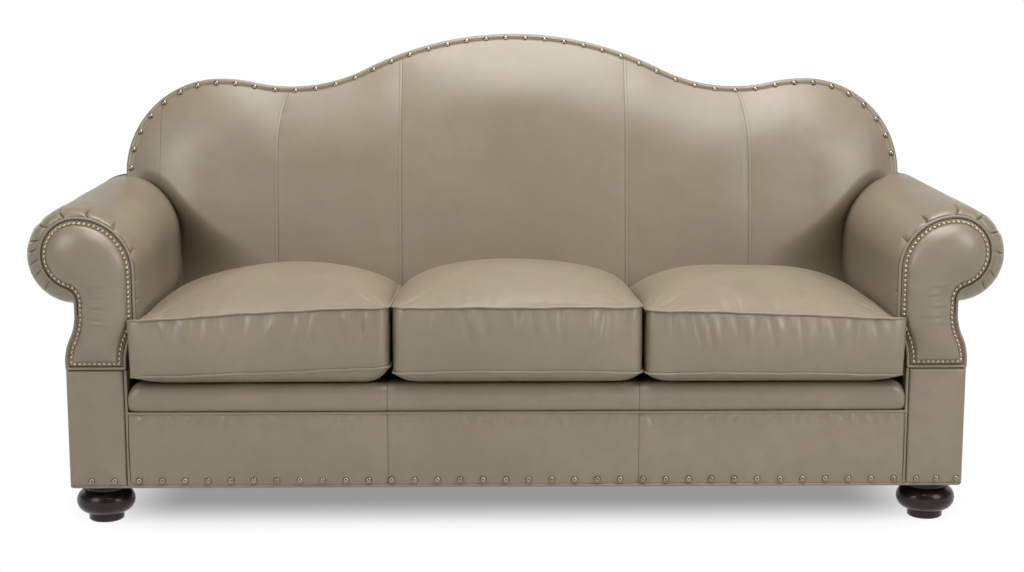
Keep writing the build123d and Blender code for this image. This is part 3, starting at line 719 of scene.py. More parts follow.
class Shade:
    """Node tree of one material."""

    def __init__(self, name: str) -> None:
        """Starts an empty tree.

        Args:
            name: of the material.
        """
        self.material = bpy.data.materials.new(name)
        self.material.use_nodes = True
        self.tree = self.material.node_tree
        self.tree.nodes.clear()
        self.end = self.tree.nodes.new("ShaderNodeOutputMaterial")

    def node(
        self, kind: str, settings: dict[str, Any] | None = None, values: dict[Any, Any] | None = None
    ) -> Node:
        """Adds a node.

        Args:
            kind: type of the node.
            settings: its own properties, set first.
            values: numbers, colours or links for its sockets.

        Returns:
            The node.
        """
        made = self.tree.nodes.new(kind)
        for key, setting in (settings or {}).items():
            setattr(made, key, setting)
        for key, value in (values or {}).items():
            if isinstance(value, Value):
                self.tree.links.new(value.socket, made.inputs[key])
            else:
                made.inputs[key].default_value = value
        return Node(self, made)

    def place(self) -> Value:
        """Object coordinates."""
        return self.node("ShaderNodeTexCoord").out("Object")

    def axis(self, place: Value, name: str) -> Value:
        """One axis of a vector."""
        return self.node("ShaderNodeSeparateXYZ", None, {0: place}).out(name)

    def noise(self, place: Value, scale: float, detail: float = 2.0, rough: float = 0.5) -> Value:
        """Noise between 0 and 1."""
        values = {"Vector": place, "Scale": scale, "Detail": detail, "Roughness": rough}
        return self.node("ShaderNodeTexNoise", None, values).out(0)

    def cells(self, place: Value, scale: float) -> Value:
        """Distance to the nearest of scattered points."""
        return self.node("ShaderNodeTexVoronoi", None, {"Vector": place, "Scale": scale}).out(0)

    def nearer(self, first: Value, second: Value) -> Value:
        """Whichever of two values is closer to zero."""
        share = second.math("ABSOLUTE").math("LESS_THAN", first.math("ABSOLUTE"))
        return first + share * (second - first)

    def stretch(self, place: Value, scale: Triple) -> Value:
        """Coordinates scaled on each axis."""
        return self.node("ShaderNodeMapping", None, {"Vector": place, "Scale": scale}).out(0)

    def blend(self, share: Value, first: Triple | Value, second: Any) -> Value:
        """Mix of two colours.

        Args:
            share: of the second colour.
            first: colour at a share of 0.
            second: colour at a share of 1.

        Returns:
            The mixed colour.
        """
        pair = [c if isinstance(c, Value) else (*c, 1.0) for c in (first, second)]
        values = {0: share, 6: pair[0], 7: pair[1]}
        return self.node("ShaderNodeMix", {"data_type": "RGBA"}, values).out(2)

    def bump(self, height: Value, strength: float, distance: float) -> Value:
        """Normal from a height."""
        values = {"Height": height, "Strength": strength, "Distance": distance}
        return self.node("ShaderNodeBump", None, values).out(0)

    def surface(self, constants: dict[str, Any], linked: dict[str, Value]) -> bpy.types.Material:
        """Ends the tree in one Principled shader and gives the material.

        Args:
            constants: numbers for the shader's sockets.
            linked: values that lead to its sockets.

        Returns:
            The material.
        """
        shader = self.node("ShaderNodeBsdfPrincipled", None, {**constants, **linked})
        self.tree.links.new(shader.node.outputs[0], self.end.inputs[0])
        return self.material


@dataclass(frozen=True)
class Leather:
    """Smooth pigmented leather with a fine grain, cloudy colour and seams across X.

    Stitched leather also has a row of thread beside each seam, a painted highlight on the raised ridge
    between them and a faint join on one shoulder.
    """

    name: str
    colour: Triple = (0.262, 0.213, 0.151)
    shadow: Triple = (0.222, 0.177, 0.122)
    light: Triple = (0.292, 0.241, 0.176)
    olive: Triple = (0.230, 0.205, 0.136)
    roughness: float = 0.31
    seams: tuple[float, ...] = ()
    shift: float = 0.0
    stitched: bool = False
    join: float = -0.879
    seam_dark: Triple = (0.095, 0.075, 0.052)
    row_dark: Triple = (0.105, 0.084, 0.058)
    thread_light: Triple = (0.36, 0.31, 0.24)
    specular: float = 0.68

    def make(self) -> bpy.types.Material:
        """Builds the material.

        Returns:
            The material.
        """
        shade = Shade(self.name)
        place = shade.place()
        cloud = shade.noise(place, 2.6, detail=2.0, rough=0.5)
        blotch = shade.noise(place, 17.0, detail=3.0, rough=0.6)
        grain = shade.cells(place, 620.0)
        pore = shade.noise(place, 1500.0, detail=2.0)
        wrinkle = shade.noise(shade.stretch(place, (46.0, 46.0, 30.0)), 1.0, detail=4.0, rough=0.62)
        colour = shade.blend(cloud.step(0.30, 0.72), self.shadow, self.light)
        colour = shade.blend(blotch.step(0.25, 0.8) * 0.52 + 0.12, colour, self.colour)
        tone = shade.noise(shade.stretch(place, (1.0, 1.0, 1.4)), 6.5, detail=3.0, rough=0.55)
        colour = shade.blend(tone.step(0.40, 0.64) * 0.64, colour, self.olive)
        mottle = shade.noise(place, 31.0, detail=4.0, rough=0.62)
        colour = shade.blend(mottle.step(0.44, 0.66) * 0.40, colour, self.shadow)
        colour = shade.blend(grain.step(0.05, 0.34) * 0.20, colour, self.shadow)
        height = grain * -0.55 + pore * 0.25 + wrinkle * 0.5
        rough = blotch * 0.10 + grain * 0.10 + (self.roughness - 0.07)
        if self.seams:
            colour, height = self.sewn(shade, place, colour, height)
        normal = shade.bump(height, strength=0.32, distance=0.0007)
        linked = {"Base Color": colour, "Roughness": rough, "Normal": normal}
        return shade.surface({"Specular IOR Level": self.specular}, linked)

    def sewn(self, shade: Shade, place: Value, colour: Value, height: Value) -> tuple[Value, Value]:
        """Adds the seams, and beside them the stitching and a painted highlight on the raised ridge, where
        there is any.

        Args:
            shade: the material's node tree.
            place: object coordinates.
            colour: of the plain leather.
            height: of the plain leather.

        Returns:
            Colour and height of the sewn leather.
        """
        x = (shade.axis(place, "X") - self.shift).math("ABSOLUTE")
        z = shade.axis(place, "Z")
        rise = (z - BOW_START).math("MAXIMUM", 0.0)
        bow = rise * rise * (SEAM_BOW if self.stitched else 0.0)
        gap = None
        for seam in self.seams:
            here = x - seam + (bow if seam > BOW_FROM else 0.0)
            gap = here if gap is None else shade.nearer(gap, here)
        line = gap.math("ABSOLUTE").step(0.0018, 0.0006)
        colour = shade.blend(line * 0.72, colour, self.seam_dark)
        height = height - line * 1.2
        if not self.stitched:
            return colour, height
        join = (shade.axis(place, "X") - self.join).math("ABSOLUTE").step(0.0022, 0.0008)
        colour = shade.blend(join * 0.34, colour, self.seam_dark)
        row = (gap - 0.0080).math("ABSOLUTE").step(0.0018, 0.0008)
        dash = (z * 170.0).math("FRACT")
        thread = row * dash.step(0.16, 0.28) * dash.step(0.98, 0.86)
        ridge = gap.step(0.0008, 0.0024) * gap.step(0.0074, 0.0056)
        colour = shade.blend(row * 0.52, colour, self.row_dark)
        colour = shade.blend(thread * 0.22, colour, self.thread_light)
        # The raised ridge beside each seam is painted lighter: a painted highlight, on top of its real bump.
        colour = shade.blend(ridge * 0.30, colour, self.light)
        return colour, height - join * 0.9 + thread * 0.6 + ridge * 1.5 - row * 0.8


@dataclass(frozen=True)
class Timber:
    """Wood streaked along its grain; dark and polished on the feet, pale and planed inside."""

    name: str
    colour: Triple
    streak: Triple
    roughness: float
    coat: float
    grain: Triple

    def make(self) -> bpy.types.Material:
        """Builds the material.

        Returns:
            The material.
        """
        shade = Shade(self.name)
        place = shade.place()
        fibre = shade.noise(shade.stretch(place, self.grain), 1.0, detail=5.0, rough=0.62)
        figure = shade.noise(place, 24.0, detail=3.0, rough=0.5)
        colour = shade.blend(fibre.step(0.38, 0.70), self.colour, self.streak)
        rough = figure * 0.16 + fibre * 0.10 + (self.roughness - 0.10)
        normal = shade.bump(fibre, strength=0.12, distance=0.0008)
        constants = {"Coat Weight": self.coat, "Coat Roughness": 0.07, "Specular IOR Level": 0.25}
        return shade.surface(constants, {"Base Color": colour, "Roughness": rough, "Normal": normal})


@dataclass(frozen=True)
class Metal:
    """Metal with a worn, uneven patina."""

    name: str
    colour: Triple
    tarnish: Triple
    roughness: float

    def make(self) -> bpy.types.Material:
        """Builds the material.

        Returns:
            The material.
        """
        shade = Shade(self.name)
        place = shade.place()
        patch = shade.noise(place, 95.0, detail=3.0, rough=0.6)
        colour = shade.blend(patch.step(0.40, 0.75) * 0.6, self.colour, self.tarnish)
        rough = patch * 0.14 + (self.roughness - 0.07)
        normal = shade.bump(shade.noise(place, 420.0, detail=2.0), strength=0.12, distance=0.0004)
        linked = {"Base Color": colour, "Roughness": rough, "Normal": normal}
        return shade.surface({"Metallic": 1.0}, linked)


@dataclass(frozen=True)
class Cloth:
    """Plain woven cloth or wadding."""

    name: str
    colour: Triple
    thread: Triple
    pitch: float = 900.0

    def make(self) -> bpy.types.Material:
        """Builds the material.

        Returns:
            The material.
        """
        shade = Shade(self.name)
        place = shade.place()
        weave = [(shade.axis(place, a) * (self.pitch * 2 * math.pi)).math("SINE") for a in "XYZ"]
        height = weave[0] * weave[1] + weave[2] * 0.4
        speck = shade.noise(place, 55.0, detail=4.0, rough=0.6)
        colour = shade.blend(speck.step(0.3, 0.75), self.colour, self.thread)
        rough = speck * 0.1 + 0.82
        normal = shade.bump(height, strength=0.2, distance=0.0005)
        return shade.surface({}, {"Base Color": colour, "Roughness": rough, "Normal": normal})


class Finishes:
    """All finishes of the sofa, built once."""

    def __init__(self) -> None:
        """Builds every finish."""
        self.leather = Leather("smooth_leather").make()
        self.back = Leather("back_leather", seams=BACK_SEAMS, stitched=True).make()
        self.front = Leather("front_leather", seams=(FRONT_SEAM,), shift=FRONT_SHIFT).make()
        self.cushion = Leather("cushion_leather").make()
        self.welt = Leather("welt_leather", roughness=0.46).make()
        self.brass = Metal("aged_brass", (0.30, 0.25, 0.18), (0.13, 0.10, 0.065), 0.18).make()
        # A lighter copy of the aged brass for the scroll nails: painted light, the same nails made brighter
        # so that they look more lit.
        self.lit_brass = Metal("bright_brass", (0.45, 0.38, 0.26), (0.19, 0.15, 0.095), 0.24).make()
        self.steel = Metal("spring_steel", (0.42, 0.42, 0.44), (0.25, 0.24, 0.24), 0.42).make()
        self.foot = Timber(
            "espresso_wood", (0.0085, 0.0050, 0.0038), (0.034, 0.0125, 0.007), 0.30, 0.22,
            (30.0, 30.0, 150.0),
        ).make()
        self.timber = Timber(
            "planed_timber", (0.42, 0.29, 0.16), (0.30, 0.19, 0.10), 0.62, 0.0, (6.0, 60.0, 60.0)
        ).make()
        self.cloth = Cloth("lining_cloth", (0.035, 0.032, 0.029), (0.055, 0.050, 0.045)).make()
        self.wadding = Cloth("wadding", (0.66, 0.62, 0.52), (0.56, 0.51, 0.41), 300.0).make()


class Dresser:
    """Keeps the finishes and gives each finished piece its place in the sofa."""

    def __init__(self, finishes: Finishes) -> None:
        """Keeps the finishes."""
        self.finishes = finishes

    def dress(
        self,
        piece: Piece,
        finish: bpy.types.Material,
        *nodes: str,
        body: str = "sofa_frame",
        fill: float | None = None,
        slot: str = "leather",
    ) -> None:
        """Gives a piece its finish and body, and hides the CAD nodes that it stands for.

        Args:
            piece: the object.
            finish: its material.
            nodes: CAD nodes that it stands for.
            body: body that it moves with.
            fill: how tightly it is padded, or None for a piece that isn't; not used.
            slot: the record's material slot, for a piece that stands for no node; not used.
        """
        piece.data.materials.clear()
        piece.data.materials.append(finish)
        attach(piece, body)
        if nodes:
            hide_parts(*nodes)
        LOG.info("%s: %d points", piece.name, len(piece.data.vertices))


@dataclass
class Back:
    """Tight padded back with its border, nailing and outside."""

    lip: float = 0.0140
    swell: float = 0.185
    belly: float = 0.012
    valley: float = 0.095
    nail_pitch: float = 0.0498
    nail_edge: float = 0.0122
    nail: Pair = (0.0070, 0.0050)
    nail_depth: float = 0.0428
    nail_start: float = 0.63
    rear_swell: float = 0.0085
    crest_swell: float = 0.0078
    rear_fall: Pair = (0.0075, 0.0068)
    rear_round: float = 0.012
    low: float = 0.290
    # Swell of the inside: zones from and to a height, a least and a further part, grooves' depth and width.
    set_back: float = 0.004
    flat: float = 0.003
    edge_fade: float = 0.06
    belly_half: float = 0.95
    belly_rise: Pair = (0.42, 0.66)
    belly_fall: Pair = (0.70, 1.05)
    belly_loss: float = 0.7
    valley_heights: Pair = (0.47, 0.69)
    valley_wide: Pair = (0.040, 0.215)
    valley_share: Pair = (0.34, 0.66)
    free_heights: Pair = (0.395, 0.440)
    free_drop: float = 0.045
    most_depth: Pair = (0.0450, 0.080)
    stitch: Pair = (0.0016, 0.004)
    dent: Pair = (0.0024, 0.035)
    uneven: float = 0.0016

    def columns(self, inset: float, count: int) -> tuple[Array, Array, Array]:
        """Columns across the back.

        Args:
            inset: how far the outline is moved inwards.
            count: number of columns.

        Returns:
            Right half of the outline, X of the columns and their tops as lengths up the lean.
        """
        track = camel_track(0.60)
        half = track.at(np.linspace(0, track.length, 900), inset)[0]
        widest = int(np.argmax(half[:, 0]))
        x = half[widest, 0] * clustered(count)
        return half, x, np.interp(np.abs(x), half[: widest + 1, 0], half[: widest + 1, 1])

    def inside_grid(self) -> Array:
        """Front surface of the back.

        Formula: columns at X = side * sin(q), rows from the arm or deck up to the outline. The depth
        falls from the border's plane to the front as the square of the distance left to the edge, with
        a soft belly, grooves at the seams and slight unevenness. Beside the arms the surface turns back
        into a valley that is broad and deep at the seat and narrow at the arm tops.

        Returns:
            Points, shape (columns, rows, 3).
        """
        half, x, top = self.columns(self.lip, 361)
        low = PLAN.up(self.low)
        up = low + (top - low)[:, None] * eased(150, 1.5)[None]
        across = np.broadcast_to(x[:, None], up.shape)
        d = edge_distance(across, up, mirrored(half))
        inner = np.clip((d - self.flat) / self.swell, 0, 1)
        depth = (PLAN.frame_depth - self.set_back) * (1 - inner) ** 2
        height = up * math.cos(PLAN.lean)
        field_x = 1 - (across / self.belly_half) ** 2
        field_z = 1 - smooth(height, *self.belly_fall) * self.belly_loss
        field_z = smooth(height, *self.belly_rise) * field_z
        depth = depth - self.belly * np.clip(field_x, 0, 1) * field_z
        fade = smooth(d, 0.0, self.edge_fade)
        arm = arm_track(0.0, PLAN.arm_foot)
        arm_line = arm.at(np.linspace(0, 0.75 * arm.length, 400))[0]
        beside = edge_distance(np.abs(across), height, arm_line)
        wall = arm_line[: int(np.argmax(arm_line[:, 1])) + 1]
        behind = (height < PLAN.arm_top) & (np.abs(across) > np.interp(height, wall[:, 1], wall[:, 0]))
        beside = np.where(behind, 0.0, beside)
        low_share = 1 - smooth(height, *self.valley_heights)
        narrow, wider = self.valley_wide
        turn_in = np.clip(1 - beside / (narrow + wider * low_share**1.3), 0, 1) ** 2.3
        least, more = self.valley_share
        depth = depth + self.valley * (least + more * low_share) * turn_in * fade
        free = smooth(height, *self.free_heights) * (height < PLAN.arm_top - self.free_drop)
        depth = np.minimum(depth, self.most_depth[0] + self.most_depth[1] * free)
        bow = SEAM_BOW * np.clip(height - BOW_START, 0, None) ** 2
        for seam in BACK_SEAMS:
            gap = np.abs(across) - seam + (bow if seam > BOW_FROM else 0.0)
            depth = depth + fade * groove(gap, self.stitch, self.dent)
        depth = depth + fade * self.uneven * ripple(across, up, 4, 9, 5.0, 26.0)
        return PLAN.on_back(across, up, depth)

    def border_grid(self) -> Array:
        """Border band over the crest.

        Formula: a profile of inset and depth, from the lip round the edge to the outside back, carried
        along the outline of the back.

        Returns:
            Points, shape (steps along the outline, profile, 3).
        """
        profile = np.array(
            [
                (0.0190, 0.0470), (0.0150, 0.0446), (0.0120, 0.0437), (0.0088, 0.0430), (0.0056, 0.0431),
                (0.0026, 0.0446), (0.0007, 0.0480), (0.0, 0.0530), (-0.0012, 0.070), (-0.0012, 0.090),
                (0.0, 0.1040), (0.0010, 0.1085),
            ]
        )
        track = camel_track(PLAN.up(PLAN.arm_top - 0.03))
        points, normals = (both_ways(part) for part in track.at(np.linspace(0, track.length, 420)))
        spot = points[:, None] + normals[:, None] * profile[None, :, :1]
        depth = np.broadcast_to(profile[None, :, 1], spot.shape[:2])
        return PLAN.on_back(spot[..., 0], spot[..., 1], depth)

    def nail_feet(self) -> Array:
        """Centres of the nails along the border, at an even pitch on its line.

        Returns:
            Points, shape (n, 3).
        """
        track = camel_track(PLAN.up(PLAN.arm_top - 0.10))
        count = int(round(track.length / self.nail_pitch))
        s = (np.arange(-count, count) + self.nail_start) * self.nail_pitch
        s = s[np.abs(s) < track.length]
        points = track.at(np.abs(s), self.nail_edge)[0]
        feet = PLAN.on_back(np.sign(s) * points[:, 0], points[:, 1], np.full(len(s), self.nail_depth))
        return feet[feet[:, 2] > PLAN.arm_top + 0.012]

    def outside_grids(self) -> tuple[Array, Array]:
        """Outside back in two sheets.

        Formula: below the arm tops, rows across the whole width to the outline of the arms; above, columns
        up to the outline of the back. The depth rounds off near the edge.

        Returns:
            Points of the lower and of the upper sheet.
        """
        arm, out = arm_track(0.0, PLAN.foot_height), outside_track(PLAN.foot_height)
        over = arm.at(np.linspace(0, arm.length, 1200))[0]
        over = over[np.argmax(over[:, 1]) :]
        line = np.concatenate([over, out.at(np.linspace(0, out.length, 500))[0]])
        order = np.argsort(line[:, 1])
        z = PLAN.foot_height + (PLAN.arm_top - PLAN.foot_height) * risen(200)
        right = np.interp(z, line[order, 1], line[order, 0])
        x = right[:, None] * clustered(161)[None]
        height = np.broadcast_to(z[:, None], x.shape)
        d = edge_distance(x, height, mirrored(line))
        depth = PLAN.rear_depth + self.rear_swell - self.rear_fall[0] * (1 - rounded(d / self.rear_round))
        lower = PLAN.on_back(x, PLAN.up(height, depth), depth)
        half, x, top = self.columns(0.0, 321)
        low = PLAN.up(PLAN.arm_top, PLAN.rear_depth + self.rear_swell) - 0.006
        up = low + (top - low)[:, None] * eased(60, 1.8)[None]
        across = np.broadcast_to(x[:, None], up.shape)
        d = edge_distance(across, up, mirrored(half))
        depth = PLAN.rear_depth + self.crest_swell - self.rear_fall[1] * (1 - rounded(d / self.rear_round))
        return lower, PLAN.on_back(across, up, depth)

    def build(self, dresser: Dresser) -> None:
        """Builds and dresses the back.

        Args:
            dresser: gives each piece its finish and its body.
        """
        finish = dresser.finishes
        front = (0.0, -math.cos(PLAN.lean), math.sin(PLAN.lean))
        rear = (0.0, math.cos(PLAN.lean), -math.sin(PLAN.lean))
        inside = Mesh.sheet("inside_back", self.inside_grid(), front)
        dresser.dress(inside, finish.back, "back_cover", "back_padding", fill=0.85)
        border = Mesh.shell("border_band", self.border_grid(), lambda c: c - (0.0, 0.25, 0.55))
        dresser.dress(border, finish.leather, "back_border")
        nails = Mesh.domes("crest_nails", self.nail_feet(), front, *self.nail)
        dresser.dress(nails, finish.brass, "back_nails")
        lower, upper = self.outside_grids()
        outside = Mesh.sheet("outside_back_lower", lower, rear)
        dresser.dress(outside, finish.leather, "outside_back")
        dresser.dress(Mesh.sheet("outside_back_upper", upper, rear), finish.leather, slot="leather")


@dataclass
class Arm:
    """Rolled arm: cover with gathers round its front, facing, welt, nails and outside panels."""

    hand: Hand
    tucks: tuple[float, ...] = (-140, -112, -61, -33, -2, 31, 61, 90, 122, 143)
    rim_depth: float = 0.042
    facing_crown: float = 0.033
    nail_pitch: float = 0.0108
    nail_edge: float = 0.008
    nail: Pair = (0.0045, 0.0040)
    welt_radius: float = 0.0035
    even_passes: int = 60
    even_from: float = 0.016
    rim_start: float = 0.0065
    edge_round: float = 0.010
    crown_start: float = 0.011
    crown_run: float = 0.060
    # Tucks: depth and width of the cut and of the dent; height, shift and width of the ridge.
    tuck_reach: Pair = (0.040, 0.056)
    tuck_more: float = 0.050
    tuck_lean: float = 0.06
    tuck_low: float = -1.6
    tuck_shallow: float = 0.45
    tuck_cut: Pair = (0.0085, 0.0019)
    tuck_dent: Pair = (0.0028, 0.011)
    tuck_ridge: Triple = (0.0014, 0.012, 0.007)
    fold_levels: Pair = (0.455, 0.540)
    fold_x: float = 0.912
    panel_turn: float = 0.0085
    panel_round: float = 0.011
    panel_swell: float = 0.004
    panel_uneven: float = 0.0012
    post_swell: Pair = (0.0035, 0.0040)
    post_set_back: float = 0.0020

    def name(self, piece: str) -> str:
        """Name of a piece with its side."""
        return f"{self.hand.name.lower()}_{piece}"

    def placed(self, x: Array, y: Array, z: Array) -> Array:
        """Points of the right arm, mirrored for the left one."""
        return joined(x * self.hand.value, y, z)

    def cover_grid(self) -> Array:
        """Leather over the roll and the inner wall.

        Formula: outlines of the arm one behind the other. The first ones grow from the rim of the facing
        to the full roll on a quarter ellipse, the rest run straight to the outside back. Each tuck is a
        narrow valley across the rim with a low ridge beside it, and fades towards the back. Points stand
        closer together round the tucks.

        Returns:
            Points, shape (rings, points round the outline, 3).
        """
        rng = np.random.default_rng(11 + self.hand.value)
        full = arm_track(0.0, PLAN.arm_foot)
        crest = full.knots[5]
        turns = np.radians(self.tucks)
        tucks = crest + np.where(turns < 0, PLAN.roll_x - PLAN.arm_in, PLAN.roll_radius) * turns
        near = np.array([0.5, 1.2, 2.0, 3.0, 4.2, 6.0, 9.0]) / 1000
        near = np.concatenate([-near[::-1], [0.0], near])
        walk_round = np.linspace(0, full.length, 380)
        s = np.unique(np.concatenate([walk_round, (tucks[:, None] + near[None]).ravel()]))
        rings = []
        for angle in np.linspace(0, math.pi / 2, 20):
            track = arm_track(1 - math.sin(angle), PLAN.arm_foot)
            line, normal = track.at(np.interp(s, full.knots, track.knots))
            y = np.full(len(s), PLAN.face_y + self.rim_start + self.rim_depth * (1 - math.cos(angle)))
            rings.append((line, normal, y))
        line, normal, y = rings[-1]
        end = PLAN.rear_y(line[:, 1], PLAN.rear_depth - 0.001)
        for share in np.linspace(0, 1, 52)[1:] ** 1.6:
            rings.append((line, normal, y + (end - y) * share))
        lines = np.stack([r[0] for r in rings])
        normals = np.stack([r[1] for r in rings])
        ys = np.stack([r[2] for r in rings])
        depth = ys - PLAN.face_y
        middle = np.concatenate([lines, ys[..., None]], -1)[:, np.argmin(np.abs(s - crest - 0.1))]
        walk = steps_along(middle)[:, None]
        place = np.broadcast_to(s, depth.shape)
        inset = np.zeros_like(depth)
        for tuck, turn in zip(tucks, turns):
            reach = rng.uniform(*self.tuck_reach) + self.tuck_more * max(0.0, math.cos(turn))
            gap = place - tuck - rng.uniform(-self.tuck_lean, self.tuck_lean) * walk
            fade = (1 - smooth(walk, reach * 0.45, reach)) * smooth(walk, -0.002, 0.006)
            size = 1.0 if turn > self.tuck_low else self.tuck_shallow
            (deep, fine), (shallow, broad) = self.tuck_cut, self.tuck_dent
            valley = deep * np.exp(-np.abs(gap / fine) ** 1.4) + shallow * bell(gap, broad)
            ridge, shift, wide = self.tuck_ridge
            inset = inset + size * fade * (valley - ridge * bell(gap - shift, wide))
        loose = smooth(depth, 0.05, 0.12) * 0.0008 + smooth(depth, 0.02, 0.05) * 0.0006
        inset = inset + loose * ripple(place * 1.4, depth, 21 + self.hand.value, 8, 8, 34)
        spot = lines + normals * inset[..., None]
        return self.placed(spot[..., 0], ys, spot[..., 1])

    def facing_line(self, inset: float, count: int) -> Array:
        """Closed outline of the facing, from its inner lower corner round the scroll: X and height.

        Args:
            inset: how far the outline is moved inwards.
            count: samples over the scroll.

        Returns:
            Points, shape (n, 2).
        """
        edge = PLAN.welt + inset
        arm = arm_track(1.0, PLAN.facing_low)
        out = outside_track(PLAN.facing_low)
        over = arm.at(np.linspace(0, arm.length, count), edge)[0]
        down = out.at(np.linspace(0, out.length, count // 3), edge)[0]
        low = PLAN.facing_low + inset
        line = np.concatenate([over, down[1:]])
        line = line[line[:, 1] > low]
        foot = np.linspace((line[-1, 0], low), (line[0, 0], low), count // 6)
        return np.concatenate([line, foot])

    def waist_folds(self, x: Array, z: Array) -> Array:
        """Depth of the short creases that cross the waist of the facing.

        Args:
            x: place across.
            z: height.

        Returns:
            Depth at each place.
        """
        rng = np.random.default_rng(3 + self.hand.value)
        total = np.zeros(x.shape)
        for level in np.linspace(*self.fold_levels, 5):
            away = x - self.fold_x - rng.uniform(-0.018, 0.018)
            bend = rng.uniform(-1.4, 1.4)
            gap = z - level - rng.uniform(-0.004, 0.004) - bend * away**2 - 0.05 * away
            span = bell(away, rng.uniform(0.014, 0.030))
            total = total + span * crease(gap, 0.0028, 0.0062, 0.0042) * rng.uniform(0.0008, 0.0019)
        return total

    def facing_grid(self) -> Array:
        """Padded scroll panel.

        Formula: rows across the scroll between its inner and outer edge, closer together near the top. The
        face stands at the nails' plane near the edge and swells beyond them; the swell is evened out by
        averaging each point with its neighbours many times. Creases cross the waist.

        Returns:
            Points, shape (rows, columns, 3).
        """
        fine = 1500
        line = self.facing_line(0.0, fine)
        peak = int(np.argmax(line[:, 1]))
        end = len(line) - fine // 6
        inner, outer = line[:peak], line[peak:end][::-1]
        z = PLAN.facing_low + (line[peak, 1] - PLAN.facing_low) * risen(170)
        left = np.interp(z, inner[:, 1], inner[:, 0])
        right = np.interp(z, outer[:, 1], outer[:, 0])
        left[-1] = right[-1] = line[peak, 0]
        a = (1 + clustered(71)) / 2
        x = left[:, None] + (right - left)[:, None] * a[None]
        height = np.broadcast_to(z[:, None], x.shape)
        d = edge_distance(x, height, line)
        crown = self.facing_crown * rounded((d - self.crown_start) / self.crown_run) ** 1.15
        for _ in range(self.even_passes):
            mean = (crown[:-2, 1:-1] + crown[2:, 1:-1] + crown[1:-1, :-2] + crown[1:-1, 2:]) / 4
            crown[1:-1, 1:-1] = np.where(d[1:-1, 1:-1] > self.even_from, mean, crown[1:-1, 1:-1])
        rel = self.rim_start * (1 - rounded(d / self.edge_round)) - crown
        rel = rel + smooth(d, 0.012, 0.024) * self.waist_folds(x, height)
        rel = rel + smooth(d, 0.012, 0.04) * 0.0011 * ripple(x, height, 31 + self.hand.value, 7, 12, 50)
        return self.placed(x, PLAN.face_y + rel, height)

    def ring(self, inset: float, depth: float, fine: int, count: int | None = None) -> Array:
        """Points at an even spacing round the facing.

        Args:
            inset: how far they stand inside its edge.
            depth: how far they stand behind the arm front.
            fine: samples of the outline over the scroll.
            count: number of points, or None for one per nail.

        Returns:
            Points, shape (count, 3).
        """
        line = self.facing_line(inset, fine)
        closed = np.concatenate([line, line[:1]])
        steps = steps_along(closed)
        count = count or int(round(steps[-1] / self.nail_pitch))
        s = np.linspace(0, steps[-1], count, endpoint=False)
        x, z = (np.interp(s, steps, closed[:, axis]) for axis in (0, 1))
        return self.placed(x, np.full(count, PLAN.face_y + depth), z)

    def nail_feet(self) -> Array:
        """Centres of the close nailing inside the facing's edge."""
        return self.ring(self.nail_edge, 0.0003, 3000)

    def welt_path(self) -> Array:
        """Ring that the welt follows round the facing, at an even spacing."""
        return self.ring(-PLAN.welt / 2, 0.0032, 2400, 420)

    def outer_grid(self) -> Array:
        """Outer panel below the roll.

        Formula: the outside line of the arm carried from the front edge, which it rounds, to the outside
        back, with a slight swell.

        Returns:
            Points, shape (steps down, steps back, 3).
        """
        track = outside_track(PLAN.base_low)
        line, normal = track.at(np.linspace(0, track.length, 130))
        start = PLAN.face_y + 0.0015
        end = PLAN.rear_y(line[:, 1], PLAN.rear_depth)
        t = np.linspace(0, 1, 90) ** 1.5
        y = start + (end - start)[:, None] * t[None]
        gap = y - start
        inset = self.panel_turn * (1 - rounded(gap / self.panel_round))
        share = np.linspace(0, 1, 130)[:, None]
        inset = inset - self.panel_swell * np.sin(math.pi * t)[None] * np.sin(math.pi * share)
        uneven = ripple(y, line[:, 1:2], 41 + self.hand.value, 7, 6, 22)
        inset = inset + self.panel_uneven * uneven * smooth(gap, 0.02, 0.1)
        spot = line[:, None] + normal[:, None] * inset[..., None]
        return self.placed(spot[..., 0], y, spot[..., 1])

    def post_grid(self) -> Array:
        """Panel on the post below the facing: a rectangle with rounded edges that swells a little.

        Returns:
            Points, shape (rows, columns, 3).
        """
        low, high = PLAN.base_low - 0.0035, PLAN.facing_low - PLAN.welt
        left, right = PLAN.seat_half + PLAN.welt, PLAN.lower_x - 0.0005
        a = (1 + clustered(61)) / 2
        x = left + (right - left) * a[None]
        z = (low + (high - low) * a)[:, None]
        x, z = np.broadcast_arrays(x, z)
        d = np.minimum(np.minimum(x - left, right - x), np.minimum(z - low, high - z))
        near, far = self.post_swell
        rel = self.panel_turn * (1 - rounded(d / self.edge_round)) - near * rounded(d / 0.05)
        rel = rel - far * smooth(d, 0.018, 0.062) + self.post_set_back
        rel = rel + 0.0008 * ripple(x, z, 51 + self.hand.value, 6, 10, 40) * smooth(d, 0.01, 0.03)
        return self.placed(x, PLAN.face_y + rel, z)

    def build(self, dresser: Dresser) -> None:
        """Builds and dresses the arm.

        Args:
            dresser: gives each piece its finish and its body.
        """
        finish, side = dresser.finishes, self.hand.value
        middle = (PLAN.roll_x * side, 0.0, 0.58)
        cover = Mesh.shell(self.name("roll_cover"), self.cover_grid(), lambda c: c - middle)
        nodes = (self.name("arm_cover"), self.name("arm_padding"))
        dresser.dress(cover, finish.leather, *nodes, fill=0.9)
        facing = Mesh.sheet(self.name("scroll_facing"), self.facing_grid(), FRONT)
        dresser.dress(facing, finish.leather, self.name("arm_facing"), fill=0.8)
        welt = Mesh.tube(self.name("scroll_welt"), self.welt_path(), self.welt_radius, True)
        dresser.dress(welt, finish.welt, self.name("facing_welt"))
        nails = Mesh.domes(self.name("scroll_nails"), self.nail_feet(), FRONT, *self.nail)
